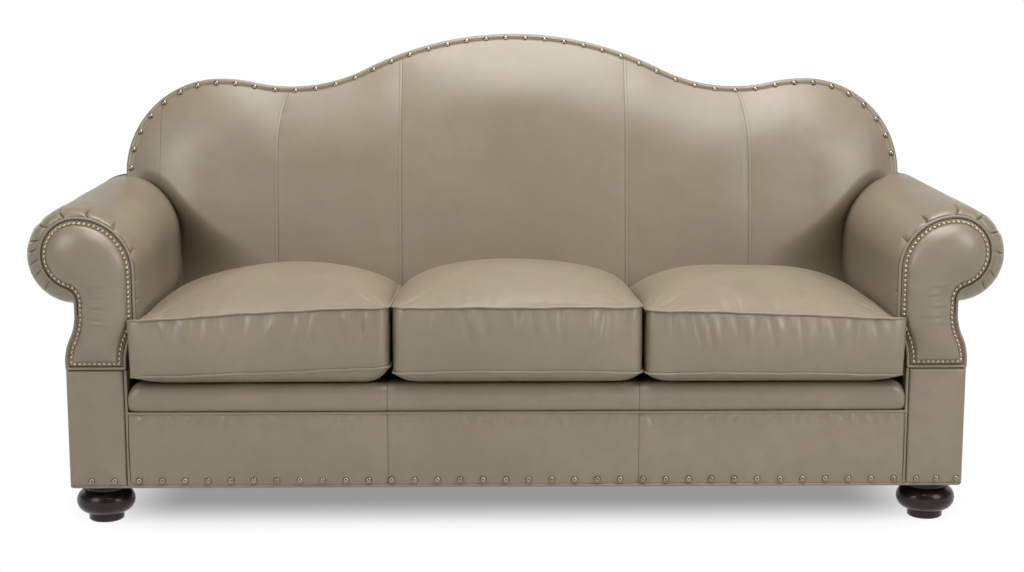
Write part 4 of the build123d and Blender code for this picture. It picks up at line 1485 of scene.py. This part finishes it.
        # The scroll nails take the lighter copy of the brass, which paints light onto them.
        dresser.dress(nails, finish.lit_brass, self.name("arm_nails"))
        outer = Mesh.sheet(self.name("outer_panel"), self.outer_grid(), (side, 0.0, 0.0))
        dresser.dress(outer, finish.leather, self.name("outer_arm_panel"))
        post = Mesh.sheet(self.name("post_cover"), self.post_grid(), FRONT)
        dresser.dress(post, finish.leather, self.name("post_panel"))


@dataclass
class Base:
    """Front of the base: nosing, welts, panel and nails, and the deck under the cushions."""

    nosing_low: float = 0.258
    nosing_depth: float = 0.066
    nail_pitch: float = 0.05085
    nail_count: int = 34
    nail: Pair = (0.0074, 0.0056)
    nail_rise: float = 0.0105
    welt_radius: float = 0.0033
    end_gap: float = 0.0005
    end_round: float = 0.030
    end_drop: float = 0.024
    end_draw: float = 0.010
    nosing_back: float = 0.0245
    nosing_swell: float = 0.0305
    nosing_run: float = 0.030
    nosing_dip: float = 0.0028
    nosing_uneven: float = 0.0011
    panel_set_back: float = 0.0045
    panel_swell: float = 0.0050
    panel_uneven: float = 0.0013
    stitch: Pair = (0.0022, 0.004)
    dent: Pair = (0.0016, 0.025)
    deck_drop: float = 0.0012
    deck_sag: float = 0.006

    def nosing_grid(self) -> Array:
        """Padded nosing.

        Formula: a profile that starts behind the welt, swells forwards, rounds over and runs back to the
        deck, carried along X. It dips at the seams and rounds off at both ends.

        Returns:
            Points, shape (steps along X, profile, 3).
        """
        x = np.sin(np.linspace(-1, 1, 401) * math.pi / 2 * 0.999) * (PLAN.seat_half - self.end_gap)
        low, top = self.nosing_low + 0.001, PLAN.deck_top - 0.0062
        turn = np.linspace(math.radians(-88), math.pi / 2, 44)
        tall = (top - low) / 2
        front = self.nosing_back - self.nosing_swell * np.abs(np.cos(turn)) ** 0.72
        rise = low + tall + tall * np.sign(np.sin(turn)) * np.abs(np.sin(turn)) ** 0.80
        run = np.linspace(self.nosing_run, self.nosing_depth, 8)
        rel = np.concatenate([front, run])
        rel = np.broadcast_to(rel, (len(x), len(rel)))
        z = np.broadcast_to(np.concatenate([rise, top - (run - self.nosing_back) * 0.035]), rel.shape)
        gap = PLAN.seat_half - np.abs(x)[:, None]
        ends = 1 - rounded(gap / self.end_round)
        z = z - ends * self.end_drop * smooth(z, low + 0.03, top)
        rel = rel + ends * self.end_draw
        dip = bell(np.abs(x - FRONT_SHIFT) - FRONT_SEAM, 0.006)[:, None]
        inward = dip * self.nosing_dip + self.nosing_uneven * ripple(x[:, None], z * 3, 61, 8, 10, 60)
        rel = rel + inward * (1 - smooth(rel, 0.005, 0.03))
        z = z - inward * smooth(rel, -0.004, 0.02) * 0.8
        return joined(x[:, None], PLAN.face_y + rel, z)

    def panel_grid(self) -> Array:
        """Front panel.

        Formula: a rectangle with a slight swell, short ripples that hang from the welt and fade downwards,
        and a groove at each seam.

        Returns:
            Points, shape (columns, rows, 3).
        """
        low, high = PLAN.base_low, self.nosing_low - 0.001
        x = np.linspace(-1, 1, 481) * (PLAN.seat_half - self.end_gap)
        z = low + (high - low) * np.linspace(0, 1, 61)
        x, z = np.meshgrid(x, z, indexing="ij")
        share = (z - low) / (high - low)
        rel = self.panel_set_back - self.panel_swell * np.sin(math.pi * np.clip(share, 0, 1)) ** 0.7
        folds = Folds(
            lean=0.4, wide=(0.0045, 0.0085), far=(0.016, 0.042), size=(0.0020, 0.0046),
            start=0.002, hold=0.4, share=0.7,
        )
        rel = rel - folds.at(x, high - z, np.linspace(-0.82, 0.82, 60), 75)
        rel = rel + self.panel_uneven * ripple(x, z * 1.6, 71, 9, 6, 30)
        gap = np.abs(x - FRONT_SHIFT) - FRONT_SEAM
        rel = rel + groove(gap, self.stitch, self.dent)
        return joined(x, PLAN.face_y + rel, z)

    def nail_feet(self) -> Array:
        """Centres of the nails along the front panel and the posts.

        Returns:
            Points, shape (n, 3).
        """
        count = self.nail_count
        front = (np.arange(count) - (count - 1) / 2) * self.nail_pitch
        post = (PLAN.seat_half + PLAN.lower_x) / 2 + np.array([-0.036, 0.008, 0.052])
        x = np.concatenate([front, post, [-0.893, -0.944]])
        rel = np.concatenate([np.full(count, 0.0018), np.full(len(x) - count, -0.0008)])
        return joined(x, PLAN.face_y + rel, PLAN.base_low + self.nail_rise)

    def welt_paths(self) -> dict[str, Array]:
        """Welts round the foot of the base and up the inner edges of the posts, as lines of points.

        Returns:
            Points of each line, by the name of its piece.
        """
        low, side, turn = PLAN.base_low - 0.0035, PLAN.lower_x - 0.003, 0.010
        rear = PLAN.rear_y(low, PLAN.rear_depth)
        bend = np.linspace(0, math.pi / 2, 9)
        front_y = PLAN.face_y + 0.0055
        corner = np.stack([side - turn + turn * np.sin(bend), front_y + turn - turn * np.cos(bend)], -1)
        run = np.linspace((side, front_y + turn + 0.004), (side, rear - 0.002), 40)
        front = np.linspace((0.0, front_y), (side - turn - 0.004, front_y), 80)
        half = np.concatenate([front, corner, run])
        line = both_ways(half)
        paths = {"base_welt": joined(line[:, 0], line[:, 1], low)}
        z = np.linspace(PLAN.base_low, PLAN.facing_low - 0.008, 60)
        post_x = PLAN.seat_half + 0.0038
        for hand in Hand:
            paths[f"{hand.name.lower()}_post_welt"] = joined(hand.value * post_x, PLAN.face_y + 0.0045, z)
        return paths

    def deck_grid(self) -> Array:
        """Top of the seat deck between the nosing, the arms and the back, with a slight sag.

        Returns:
            Points, shape (columns, rows, 3).
        """
        x = np.linspace(-1, 1, 121)[:, None] * (PLAN.seat_half - 0.001)
        along = np.linspace(self.nosing_depth - 0.006, PLAN.seat_depth - 0.002, 41)[None]
        share = np.linspace(0, 1, 41)[None]
        sag = self.deck_sag * np.sin(math.pi * share) * np.cos(x / PLAN.seat_half * math.pi / 2) ** 0.5
        return PLAN.on_deck(x, along, -(self.deck_drop + sag))

    def build(self, dresser: Dresser) -> None:
        """Builds and dresses the base.

        Args:
            dresser: gives each piece its finish and its body.
        """
        finish = dresser.finishes
        middle = (0.0, PLAN.face_y + 0.05, PLAN.deck_top - 0.06)
        nosing = Mesh.shell("nosing_roll", self.nosing_grid(), lambda c: (c - middle) * (0.0, 1.0, 1.0))
        dresser.dress(nosing, finish.front, "front_nosing", fill=0.8)
        panel = Mesh.sheet("front_cover", self.panel_grid(), FRONT)
        dresser.dress(panel, finish.front, "front_panel")
        nails = Mesh.domes("base_nailing", self.nail_feet(), FRONT, *self.nail)
        dresser.dress(nails, finish.brass, "base_nails")
        for name, path in self.welt_paths().items():
            welt = Mesh.tube(name, path, self.welt_radius, False)
            nodes = ("base_welts",) if name == "base_welt" else ()
            dresser.dress(welt, finish.welt, *nodes, slot="welt_leather")
        deck = Mesh.sheet("deck_cover", self.deck_grid(), (0.0, 0.0, 1.0))
        dresser.dress(deck, finish.cloth, "seat_deck", fill=0.5)


@dataclass
class Cushion:
    """Loose box cushion with a crowned top, swollen boxing and a welt on each edge."""

    FABRIC: ClassVar[dict[str, Any]] = {
        "quality": 5, "mass": 0.35, "use_pressure": True, "uniform_pressure_force": 4.0,
        "tension_stiffness": 18, "compression_stiffness": 18, "shear_stiffness": 8, "bending_stiffness": 0.6,
    }

    name: str
    index: int
    low_welt: float = 0.0245
    high_welt: float = 0.167
    crown: float = 0.072
    corner: float = 0.027
    front: float = -0.026
    lip: float = 0.033
    rise: float = -0.004
    droop: float = 0.0
    sink: float = 0.0
    welt_inset: float = 0.0065
    welt_radii: Pair = (0.0029, 0.0027)
    most_swell: float = 0.022
    # Gaps, then heights of the folds and bulges, each pair a least and a further part.
    gap: float = 0.004
    arm_gap: float = 0.002
    rear_gap: float = 0.012
    top_uneven: float = 0.0026
    patch_uneven: float = 0.0016
    top_pull: float = 0.0007
    pucker: float = 0.0028
    front_pull: float = 0.0066
    foot_pull: float = 0.0024
    front_uneven: float = 0.0024
    front_bulge: Pair = (0.0065, 0.0035)
    side_bulge: float = 0.0026
    rest: float = 0.0006
    rest_drop: float = 0.0048
    frames: int = 20
    across: int = 112
    along: int = 56
    rows: int = 20

    @property
    def ends(self) -> Pair:
        """Left and right sides of the boxing.

        Returns:
            X of the left and of the right side.
        """
        cell = 2 * (PLAN.arm_in - self.arm_gap) / 3
        left = (self.index - 1.5) * cell + self.gap
        return left, left + cell - 2 * self.gap

    @property
    def outer(self) -> int:
        """Side that meets an arm: -1, 1, or 0 for the centre cushion."""
        return self.index - 1

    def rear(self, height: Array) -> Array:
        """Length back along the deck of the rear boxing at a height above it.

        Args:
            height: above the deck.

        Returns:
            Length at each height.
        """
        lean = PLAN.lean - PLAN.slope
        foot = (PLAN.seat_depth - 0.002) * math.cos(PLAN.lean) / math.cos(lean)
        return foot + height * math.tan(lean) - self.rear_gap

    def arm_room(self, height: Array) -> Array:
        """How far the arm's inner wall stands out beside the cushion at a height above the deck.

        Args:
            height: above the deck.

        Returns:
            Room at each height.
        """
        track = arm_track(0.0, PLAN.arm_foot)
        line = track.at(np.linspace(0, 0.35, 400))[0]
        return np.interp(PLAN.deck_top - 0.006 + height, line[:, 1], line[:, 0]) - PLAN.arm_in

    def plan(self, a: Array, b: Array, height: Array, reach: float = 0.0) -> tuple[Array, Array]:
        """Plan of the cushion.

        Formula: a square of a and b between -1 and 1 is stretched to the cushion's width and depth. A point
        keeps its share of the way from the middle to the edge, and the edge has rounded corners. On the
        side of an arm the cushion follows the arm's inner wall, and in front of the arm it bulges out.

        Args:
            a: place across.
            b: place from front to back.
            height: above the deck.
            reach: how far the edge is moved outwards.

        Returns:
            X and length back along the deck.
        """
        left, right = self.ends
        front, back = self.front, self.rear(height)
        wide, deep = (right - left) / 2 + reach, (back - front) / 2 + reach
        share = np.maximum(np.maximum(np.abs(a), np.abs(b)), TINY)
        px, py = np.abs(a) / share * wide, np.abs(b) / share * deep
        cx, cy = wide - self.corner, deep - self.corner
        vx, vy = px - cx, py - cy
        inside = (vx > 0) & (vy > 0)
        size = np.maximum(np.hypot(vx, vy), TINY)
        px = np.where(inside, cx + vx / size * self.corner, px)
        py = np.where(inside, cy + vy / size * self.corner, py)
        x = (left + right) / 2 + np.sign(a) * px * share
        y = (front + back) / 2 + np.sign(b) * py * share
        near = np.clip(self.outer * (x - (left + right) / 2) / wide, 0, 1) ** 4
        room = self.arm_room(height) * (0.40 + 0.50 * smooth(y, 0.0, 0.10))
        proud = self.lip * (0.82 + 0.18 * smooth(height, 0.02, 0.16))
        lip = np.maximum(proud - room, 0.0) * smooth(-y, 0.003, 0.013)
        return x + self.outer * near * (room + lip), y

    def welt_heights(self, a: Array, b: Array) -> tuple[Array, Array]:
        """Heights of the lower and upper welts above the deck; rear corners and those by an arm droop.

        Args:
            a: place across.
            b: place from front to back.

        Returns:
            Lower and upper heights.
        """
        droop = ((1 + self.outer * a) / 2) ** 1.6 * abs(self.outer)
        rear = (1 + b) / 2
        inner = np.clip((1 - self.outer * a) / 2, 0, 1) ** 2.2 if self.outer else np.abs(a) ** 3.5
        low = self.low_welt + (self.rise * inner - 0.010 * droop) * (1 - rear)
        return low, self.high_welt - self.sink - self.droop * droop - rear * (0.012 + 0.015 * a**2)

    def square(self, across: int, along: int) -> list[Array]:
        """Grid of places between -1 and 1, closer together at the edges."""
        even = (np.linspace(-1, 1, count + 1) for count in (across, along))
        return np.meshgrid(*(np.sign(g) * (1 - (1 - np.abs(g)) ** 1.35) for g in even), indexing="ij")

    @staticmethod
    def inward(a: Array, b: Array) -> Array:
        """Distance from the edge of the square towards its middle, which is 1."""
        return np.clip(1 - np.maximum(np.abs(a), np.abs(b)), 0, 1)

    def edge_walk(self) -> tuple[Array, Array]:
        """Rows and columns of the grid's edge points, once round from the front left corner.

        Returns:
            Row numbers and column numbers.
        """
        n, m = self.across, self.along
        rows = [np.arange(n), np.full(m, n), np.arange(n, 0, -1), np.zeros(m, int)]
        cols = [np.zeros(n, int), np.arange(m), np.full(n, m), np.arange(m, 0, -1)]
        return np.concatenate(rows), np.concatenate(cols)

    def crown_height(self, a: Array, b: Array) -> Array:
        """Height of the top above its welt: a pillow, steep at the edges and fullest to the rear.

        Args:
            a: place across.
            b: place from front to back.

        Returns:
            Height at each place.
        """
        across = np.clip(1 - np.abs(a) ** 2.6, 0, 1) ** 0.58
        length = np.clip(1 - np.abs(b) ** 2.2, 0, 1) ** np.where(b < 0, 1.05, 0.60)
        return self.crown * across * length * (1 + 0.06 * b)

    def patch(self, x: Array, y: Array) -> Array:
        """Share of the finer creases at a place: a soft patch towards the front of the top."""
        middle = sum(self.ends) / 2 - 0.03 * self.outer
        return bell(x - middle, 0.16) * bell(y - 0.12, 0.09)

    def pulls(self, x: Array, up: Array, count: int, seed: int, reach: float) -> Array:
        """Folds that hang from a welt of the cushion.

        Args:
            x: place across.
            up: distance from the welt.
            count: number of folds.
            seed: of their differences.
            reach: longest fold.

        Returns:
            Height between about -1 and 1.
        """
        left, right = self.ends
        folds = Folds(
            lean=0.22, wide=(0.0035, 0.0075), far=(0.35 * reach, reach), size=(0.3, 1.0),
            start=0.001, hold=0.3, share=0.75,
        )
        return folds.at(x, up, np.linspace(left + 0.045, right - 0.045, count), seed)

    def puckers(self, x: Array, y: Array) -> Array:
        """Fine creases that run in from the front corners of the top.

        Formula: round each corner, a crease along each of several angles, which rises and fades with
        the distance.

        Args:
            x: place across.
            y: length back along the deck.

        Returns:
            Height between about -1 and 1.
        """
        rng = np.random.default_rng(211 + self.index)
        total = np.zeros(x.shape)
        for corner, way in zip(self.ends, (1, -1)):
            away, back = way * (x - corner) + 0.012, y - self.front + 0.012
            far, angle = np.hypot(away, back), np.arctan2(back, np.maximum(away, NEARLY))
            for turn in np.linspace(0.22, 1.25, 6):
                gap = (angle - turn - rng.uniform(-0.06, 0.06)) * far
                reach = rng.uniform(0.09, 0.17)
                fade = smooth(far, 0.025, 0.055) * (1 - smooth(far, 0.5 * reach, reach))
                total = total - rng.uniform(0.4, 1.0) * crease(gap, 0.0045, 0.0095, 0.0065) * fade
        return total

    def top_part(self, a: Array, b: Array, high: Array) -> tuple[Array, Array]:
        """Points of the top, and its folds as steps upwards that start at the welt.

        Args:
            a: place across.
            b: place from front to back.
            high: height of the upper welt.

        Returns:
            Points and steps, each of shape (columns, rows, 3).
        """
        x, y = self.plan(a, b, high)
        rough = self.top_uneven * ripple(x, y, 81 + self.index, 9, 8, 30)
        finer = self.patch_uneven * ripple(x, y * 0.6, 84 + self.index, 12, 40, 95)
        rough = rough + finer * self.patch(x, y)
        pulls = self.pulls(x, (y - self.front) * 0.9, 9, 181 + self.index, 0.095)
        rough = rough - self.top_pull * pulls + self.pucker * self.puckers(x, y)
        fade = smooth(self.inward(a, b), 0.0, 0.08)
        return PLAN.on_deck(x, y, high + self.crown_height(a, b)), joined(0.0, 0.0, rough * fade)

    def base_part(self, a: Array, b: Array, low: Array) -> Array:
        """Points of the bottom: rounded at its edge, flat on the deck and a little lower on the nosing.

        Args:
            a: place across.
            b: place from front to back.
            low: height of the lower welt.

        Returns:
            Points, shape (columns, rows, 3).
        """
        x, y = self.plan(a, b, low)
        floor = self.rest - self.rest_drop * (1 - smooth(b, -0.86, -0.62))
        return PLAN.on_deck(x, y, low - (low - floor) * rounded(self.inward(a, b) / 0.17) ** 1.7)

    def boxing_part(self, a: Array, b: Array, low: Array, high: Array) -> tuple[Array, Array]:
        """Points of the boxing between the welts, and its folds as steps inwards on the front.

        Formula: rows at even shares of the height between the welts. Each side swells as a power of the
        sine of that share.

        Args:
            a: place across of the points round the edge.
            b: place from front to back of these points.
            low: height of the lower welt there.
            high: height of the upper welt there.

        Returns:
            Points and steps, each of shape (rows, points round the edge, 3).
        """
        v = np.linspace(0, 1, self.rows + 1)[1:-1, None]
        height = low + (high - low) * v
        x, y = self.plan(a + 0 * height, b + 0 * height, height)
        front = 1 - smooth(b, -1.0, -0.94)
        bulge = np.sin(math.pi * v) ** 0.75
        slack = self.front_pull * self.pulls(x, high - height, 20, 91 + self.index, 0.115)
        slack = slack + self.foot_pull * self.pulls(x, height - low, 8, 191 + self.index, 0.045)
        slack = slack - self.front_uneven * ripple(x, height * 1.5, 91 + self.index, 8, 10, 34)
        least, more = self.front_bulge
        y = y - front * bulge * (least + more * (1 - np.abs(a) ** 6))
        side = (np.abs(np.abs(a) - 1) < NEARLY) & (self.outer * np.sign(a) <= 0)
        x = x + np.where(side, np.sign(a) * self.side_bulge * bulge * smooth(b, -1.0, -0.80), 0.0)
        step = front * slack * np.sin(math.pi * v) ** 0.5
        return PLAN.on_deck(x, y, height), joined(0.0, step, 0.0)

    def form(self) -> tuple[Array, Array, Array, Array]:
        """Closed form of the cushion.

        Formula: a square grid for the top and one for the bottom, with their edges joined by rows round the
        boxing. The leather's folds are kept apart, as a step for each point.

        Returns:
            Points, steps of the folds, quads and each point's share in the swelling, 0 where it is sewn.
        """
        n, m, rows = self.across, self.along, self.rows
        a, b = self.square(n, m)
        low, high = self.welt_heights(a, b)
        edge = self.edge_walk()
        ea, eb = a[edge][None], b[edge][None]
        top, top_fold = self.top_part(a, b, high)
        base = self.base_part(a, b, low)
        wall, wall_fold = self.boxing_part(ea, eb, low[edge], high[edge])
        count, around = a.size, len(edge[0])
        points = np.concatenate([top.reshape(-1, 3), base.reshape(-1, 3), wall.reshape(-1, 3)])
        folds = np.concatenate([top_fold.reshape(-1, 3), np.zeros((count, 3)), wall_fold.reshape(-1, 3)])
        top_edge = edge[0] * (m + 1) + edge[1]
        middle = 2 * count + np.arange((rows - 1) * around).reshape(rows - 1, around)
        rings = np.concatenate([(count + top_edge)[None], middle, top_edge[None]])
        nxt = np.roll(rings, -1, 1)
        side_quads = np.stack([rings[:-1], nxt[:-1], nxt[1:], rings[1:]], -1).reshape(-1, 4)
        upper = Mesh.faces(n + 1, m + 1, False, False)
        quads = np.concatenate([upper, upper[:, ::-1] + count, side_quads])
        share = np.zeros(len(points))
        share[:count] = smooth(b, -1.0, -0.50).ravel()
        share[top_edge] = 0.0
        share[middle] = np.where(np.abs(eb[0] + 1) < NEARLY, 1 - smooth(np.abs(ea[0]), 0.78, 1.0), 0.0)
        return points, folds, quads, share

    def swell(self, piece: Piece, share: Array) -> None:
        """Blows the cushion up as cloth, with its welts sewn fast, and keeps the shape.

        Args:
            piece: the cushion.
            share: how much of its swelling each point keeps, 0 where it is sewn.
        """
        still = np.empty(len(piece.data.vertices) * 3)
        piece.data.vertices.foreach_get("co", still)
        group = piece.vertex_groups.new(name="sewn")
        group.add(np.flatnonzero(share == 0).tolist(), 1.0, "REPLACE")
        cloth = piece.modifiers.new("cloth", "CLOTH")
        for key, setting in self.FABRIC.items():
            setattr(cloth.settings, key, setting)
        cloth.settings.vertex_group_mass = group.name
        cloth.settings.effector_weights.gravity = 0.0
        scene = bpy.context.scene
        cloth.point_cache.frame_start, cloth.point_cache.frame_end = 1, self.frames
        for frame_number in range(1, self.frames + 1):
            scene.frame_set(frame_number)
        shaped = piece.evaluated_get(bpy.context.evaluated_depsgraph_get())
        moved = np.empty_like(still)
        shaped.data.vertices.foreach_get("co", moved)
        step = (moved - still).reshape(-1, 3)
        size = np.linalg.norm(step, axis=1, keepdims=True)
        step *= np.minimum(1, self.most_swell / np.maximum(size, TINY)) * share[:, None]
        LOG.info("%s swells by %.1f mm at most", piece.name, 1000 * float(size.max()))
        piece.modifiers.remove(cloth)
        piece.vertex_groups.remove(group)
        piece.data.vertices.foreach_set("co", (still.reshape(-1, 3) + step).ravel())
        piece.data.update()
        scene.frame_set(1)

    def welt_path(self, upper: bool) -> Array:
        """Ring of a welt just outside the boxing, with the slight waves of a sewn edge.

        Args:
            upper: whether it is the upper welt.

        Returns:
            Points, shape (n, 3).
        """
        fine = replace(self, across=2 * self.across, along=2 * self.along, lip=self.lip - self.welt_inset)
        a, b = self.square(fine.across, fine.along)
        edge = fine.edge_walk()
        a, b = a[edge], b[edge]
        height = self.welt_heights(a, b)[1 if upper else 0]
        x, y = fine.plan(a, b, height, 0.0010)
        t = np.arange(len(a)) / len(a) * 2 * math.pi
        wave = 0.0006 * np.sin(9 * t + self.index) + 0.0004 * np.sin(23 * t + 2 * self.index)
        return PLAN.on_deck(x, y, height + wave)

    def build(self, dresser: Dresser) -> None:
        """Builds and dresses the cushion.

        Args:
            dresser: gives each piece its finish and its body.
        """
        finish, body = dresser.finishes, f"{self.name}_cushion"
        points, folds, quads, share = self.form()
        piece = Mesh.build(f"{self.name}_seat", points, quads, None)
        self.swell(piece, share)
        shape = np.empty(folds.size)
        piece.data.vertices.foreach_get("co", shape)
        piece.data.vertices.foreach_set("co", shape + folds.ravel())
        piece.data.update()
        finer = piece.modifiers.new("finer", "SUBSURF")
        finer.levels = finer.render_levels = 1
        nodes = (f"{body}_cover", f"{body}_core")
        dresser.dress(piece, finish.cushion, *nodes, body=body, fill=0.85)
        for edge, upper, nodes in (("lower", False, (f"{body}_welts",)), ("upper", True, ())):
            path, radius = self.welt_path(upper), self.welt_radii[upper]
            welt = Mesh.tube(f"{self.name}_{edge}_welt", path, radius, True)
            dresser.dress(welt, finish.welt, *nodes, body=body, slot="welt_leather")


class Bare:
    """Finishes of the frame's own pieces that stay as they are."""

    SLOTS = {
        "frame_timber": "timber",
        "foot_timber": "foot",
        "spring_steel": "steel",
        "cloth": "cloth",
        "padding": "wadding",
        "leather": "leather",
        "welt_leather": "welt",
        "cushion_leather": "cushion",
        "nail_brass": "brass",
    }

    def __init__(self, finishes: Finishes, frame: dict[str, Any]) -> None:
        """Keeps the finishes and takes each node's slot from the record."""
        self.finishes = finishes
        self.slots = {row["node"]: row["material_slot"] for row in frame["record"]["subparts"]}

    def dress(self) -> None:
        """Gives each piece of the frame the finish of its slot."""
        for node, slot in self.slots.items():
            piece = bpy.data.objects.get(node)
            if piece is None or piece.type != "MESH":
                continue
            piece.data.materials.clear()
            piece.data.materials.append(getattr(self.finishes, self.SLOTS[slot]))
            piece.data.polygons.foreach_set("material_index", np.zeros(len(piece.data.polygons), np.int32))


@dataclass
class Studio:
    """Plain pale floor, soft light and the camera."""

    LAMPS = (
        ("top", (0.2, -0.55, 3.1), (0.1, -0.30, 0.5), (2.1, 3.2), 115.0),
        ("left", (-2.3, -2.0, 1.7), (-0.4, 0.0, 0.5), (1.2, 1.5), 25.5),
        ("right", (2.3, -2.0, 1.7), (0.4, 0.0, 0.5), (1.2, 1.5), 30.0),
        ("rear_left", (-4.0, 3.2, 1.9), (-0.3, 0.3, 0.5), (2.4, 2.0), 13.0),
        ("rear_right", (4.0, 3.2, 1.9), (0.3, 0.3, 0.5), (2.4, 2.0), 13.0),
    )
    lens: float = 66.8
    sensor: float = 36.0
    camera_x: float = -0.07
    camera_away: float = 4.09
    camera_height: float = 1.245
    tilt: float = 9.736
    turn: float = -0.81
    sky: Triple = (0.0, 0.0, 9.0)
    sky_light: float = 0.18

    def floor_finish(self) -> bpy.types.Material:
        """Pale matt floor that the camera sees fade to white away from the sofa.

        Returns:
            The material.
        """
        shade = Shade("pale_floor")
        pale = shade.node("ShaderNodeBsdfDiffuse", None, {"Color": (0.64, 0.64, 0.64, 1.0)})
        white = shade.node("ShaderNodeEmission", None, {"Color": (1.0, 1.0, 1.0, 1.0), "Strength": 1.0})
        place = shade.place()
        out = [
            (shade.axis(place, axis).math("ABSOLUTE") - edge).math("MAXIMUM", 0.0)
            for axis, edge in (("X", 0.76), ("Y", 0.15))
        ]
        far = (out[0] * out[0] + out[1] * out[1]).math("SQRT").step(0.0, 0.32) * 0.70 + 0.30
        path = shade.node("ShaderNodeLightPath")
        seen = path.out("Is Camera Ray").math("MAXIMUM", path.out("Is Glossy Ray"))
        seen = seen.math("MAXIMUM", path.out("Is Transmission Ray"))
        mix = shade.node("ShaderNodeMixShader", None, {0: seen * far, 1: pale.out(0), 2: white.out(0)})
        shade.tree.links.new(mix.node.outputs[0], shade.end.inputs[0])
        return shade.material

    def floor(self) -> None:
        """Lays the floor: a wide disc that curves up at its edge, white away from the sofa's shadow."""
        ring = np.array([(2.0, 0.0), (20.0, 0.0), (70.0, 0.0), (76.0, 1.2), (80.0, 4.0), (82.0, 14.0)])
        turn = np.linspace(0, 2 * math.pi, 72, endpoint=False)
        grid = joined(ring[:, :1] * np.cos(turn), ring[:, :1] * np.sin(turn), ring[:, 1:])
        grid = np.concatenate([grid[:1] * (0.0005, 0.0005, 1.0), grid])
        quads = Mesh.faces(*grid.shape[:2], False, True)
        piece = Mesh.build("floor", grid, quads, lambda c: np.array(self.sky) - c)
        piece.data.materials.append(self.floor_finish())

    def lamp(self, name: str, place: Triple, aim: Triple, size: Pair, power: float) -> None:
        """Hangs one soft box.

        Args:
            name: of the lamp.
            place: where it hangs.
            aim: point that it lights.
            size: width and height.
            power: in watts.
        """
        data = bpy.data.lights.new(name, "AREA")
        data.shape = "RECTANGLE"
        data.size, data.size_y = size
        data.energy = power
        lamp = bpy.data.objects.new(name, data)
        bpy.context.scene.collection.objects.link(lamp)
        lamp.location = place
        way = np.array(aim, float) - np.array(place, float)
        flat = math.hypot(way[0], way[1])
        lamp.rotation_euler = (math.atan2(flat, -way[2]), 0.0, math.atan2(-way[0], way[1]))

    def light(self) -> None:
        """Sets the even sky and the soft boxes."""
        world = bpy.data.worlds.new("even_sky")
        world.use_nodes = True
        back = world.node_tree.nodes["Background"]
        back.inputs[1].default_value = self.sky_light
        back.inputs[0].default_value = (1.0, 1.0, 1.0, 1.0)
        bpy.context.scene.world = world
        for lamp in self.LAMPS:
            self.lamp(*lamp)

    def camera(self) -> None:
        """Sets the camera at the photograph's angle."""
        data = bpy.data.cameras.new("camera")
        data.sensor_fit, data.sensor_width = "HORIZONTAL", self.sensor
        data.lens = self.lens
        data.clip_end = 300.0
        camera = bpy.data.objects.new("camera", data)
        bpy.context.scene.collection.objects.link(camera)
        camera.location = (self.camera_x, PLAN.face_y - self.camera_away, self.camera_height)
        camera.rotation_euler = (math.radians(90 - self.tilt), 0.0, math.radians(self.turn))
        bpy.context.scene.camera = camera

    def build(self) -> None:
        """Builds the whole studio."""
        bpy.context.scene.view_settings.view_transform = "Standard"
        self.floor()
        self.light()
        self.camera()


def main() -> None:
    """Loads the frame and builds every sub-assembly in order."""
    logging.basicConfig(level=logging.INFO, format="%(name)s: %(message)s")
    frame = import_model()
    finishes = Finishes()
    dresser = Dresser(finishes)
    Bare(finishes, frame).dress()
    Back().build(dresser)
    Arm(Hand.LEFT, tucks=(-148, -118, -100, -73, -43, -13, 16, 46, 70, 84, 101, 118, 140)).build(dresser)
    Arm(Hand.RIGHT).build(dresser)
    Base().build(dresser)
    Cushion("left", 0, rise=0.010, droop=0.029).build(dresser)
    Cushion("centre", 1).build(dresser)
    Cushion("right", 2, rise=-0.006, droop=0.020, sink=0.008).build(dresser)
    Studio().build()


if __name__ == "__main__":
    main()
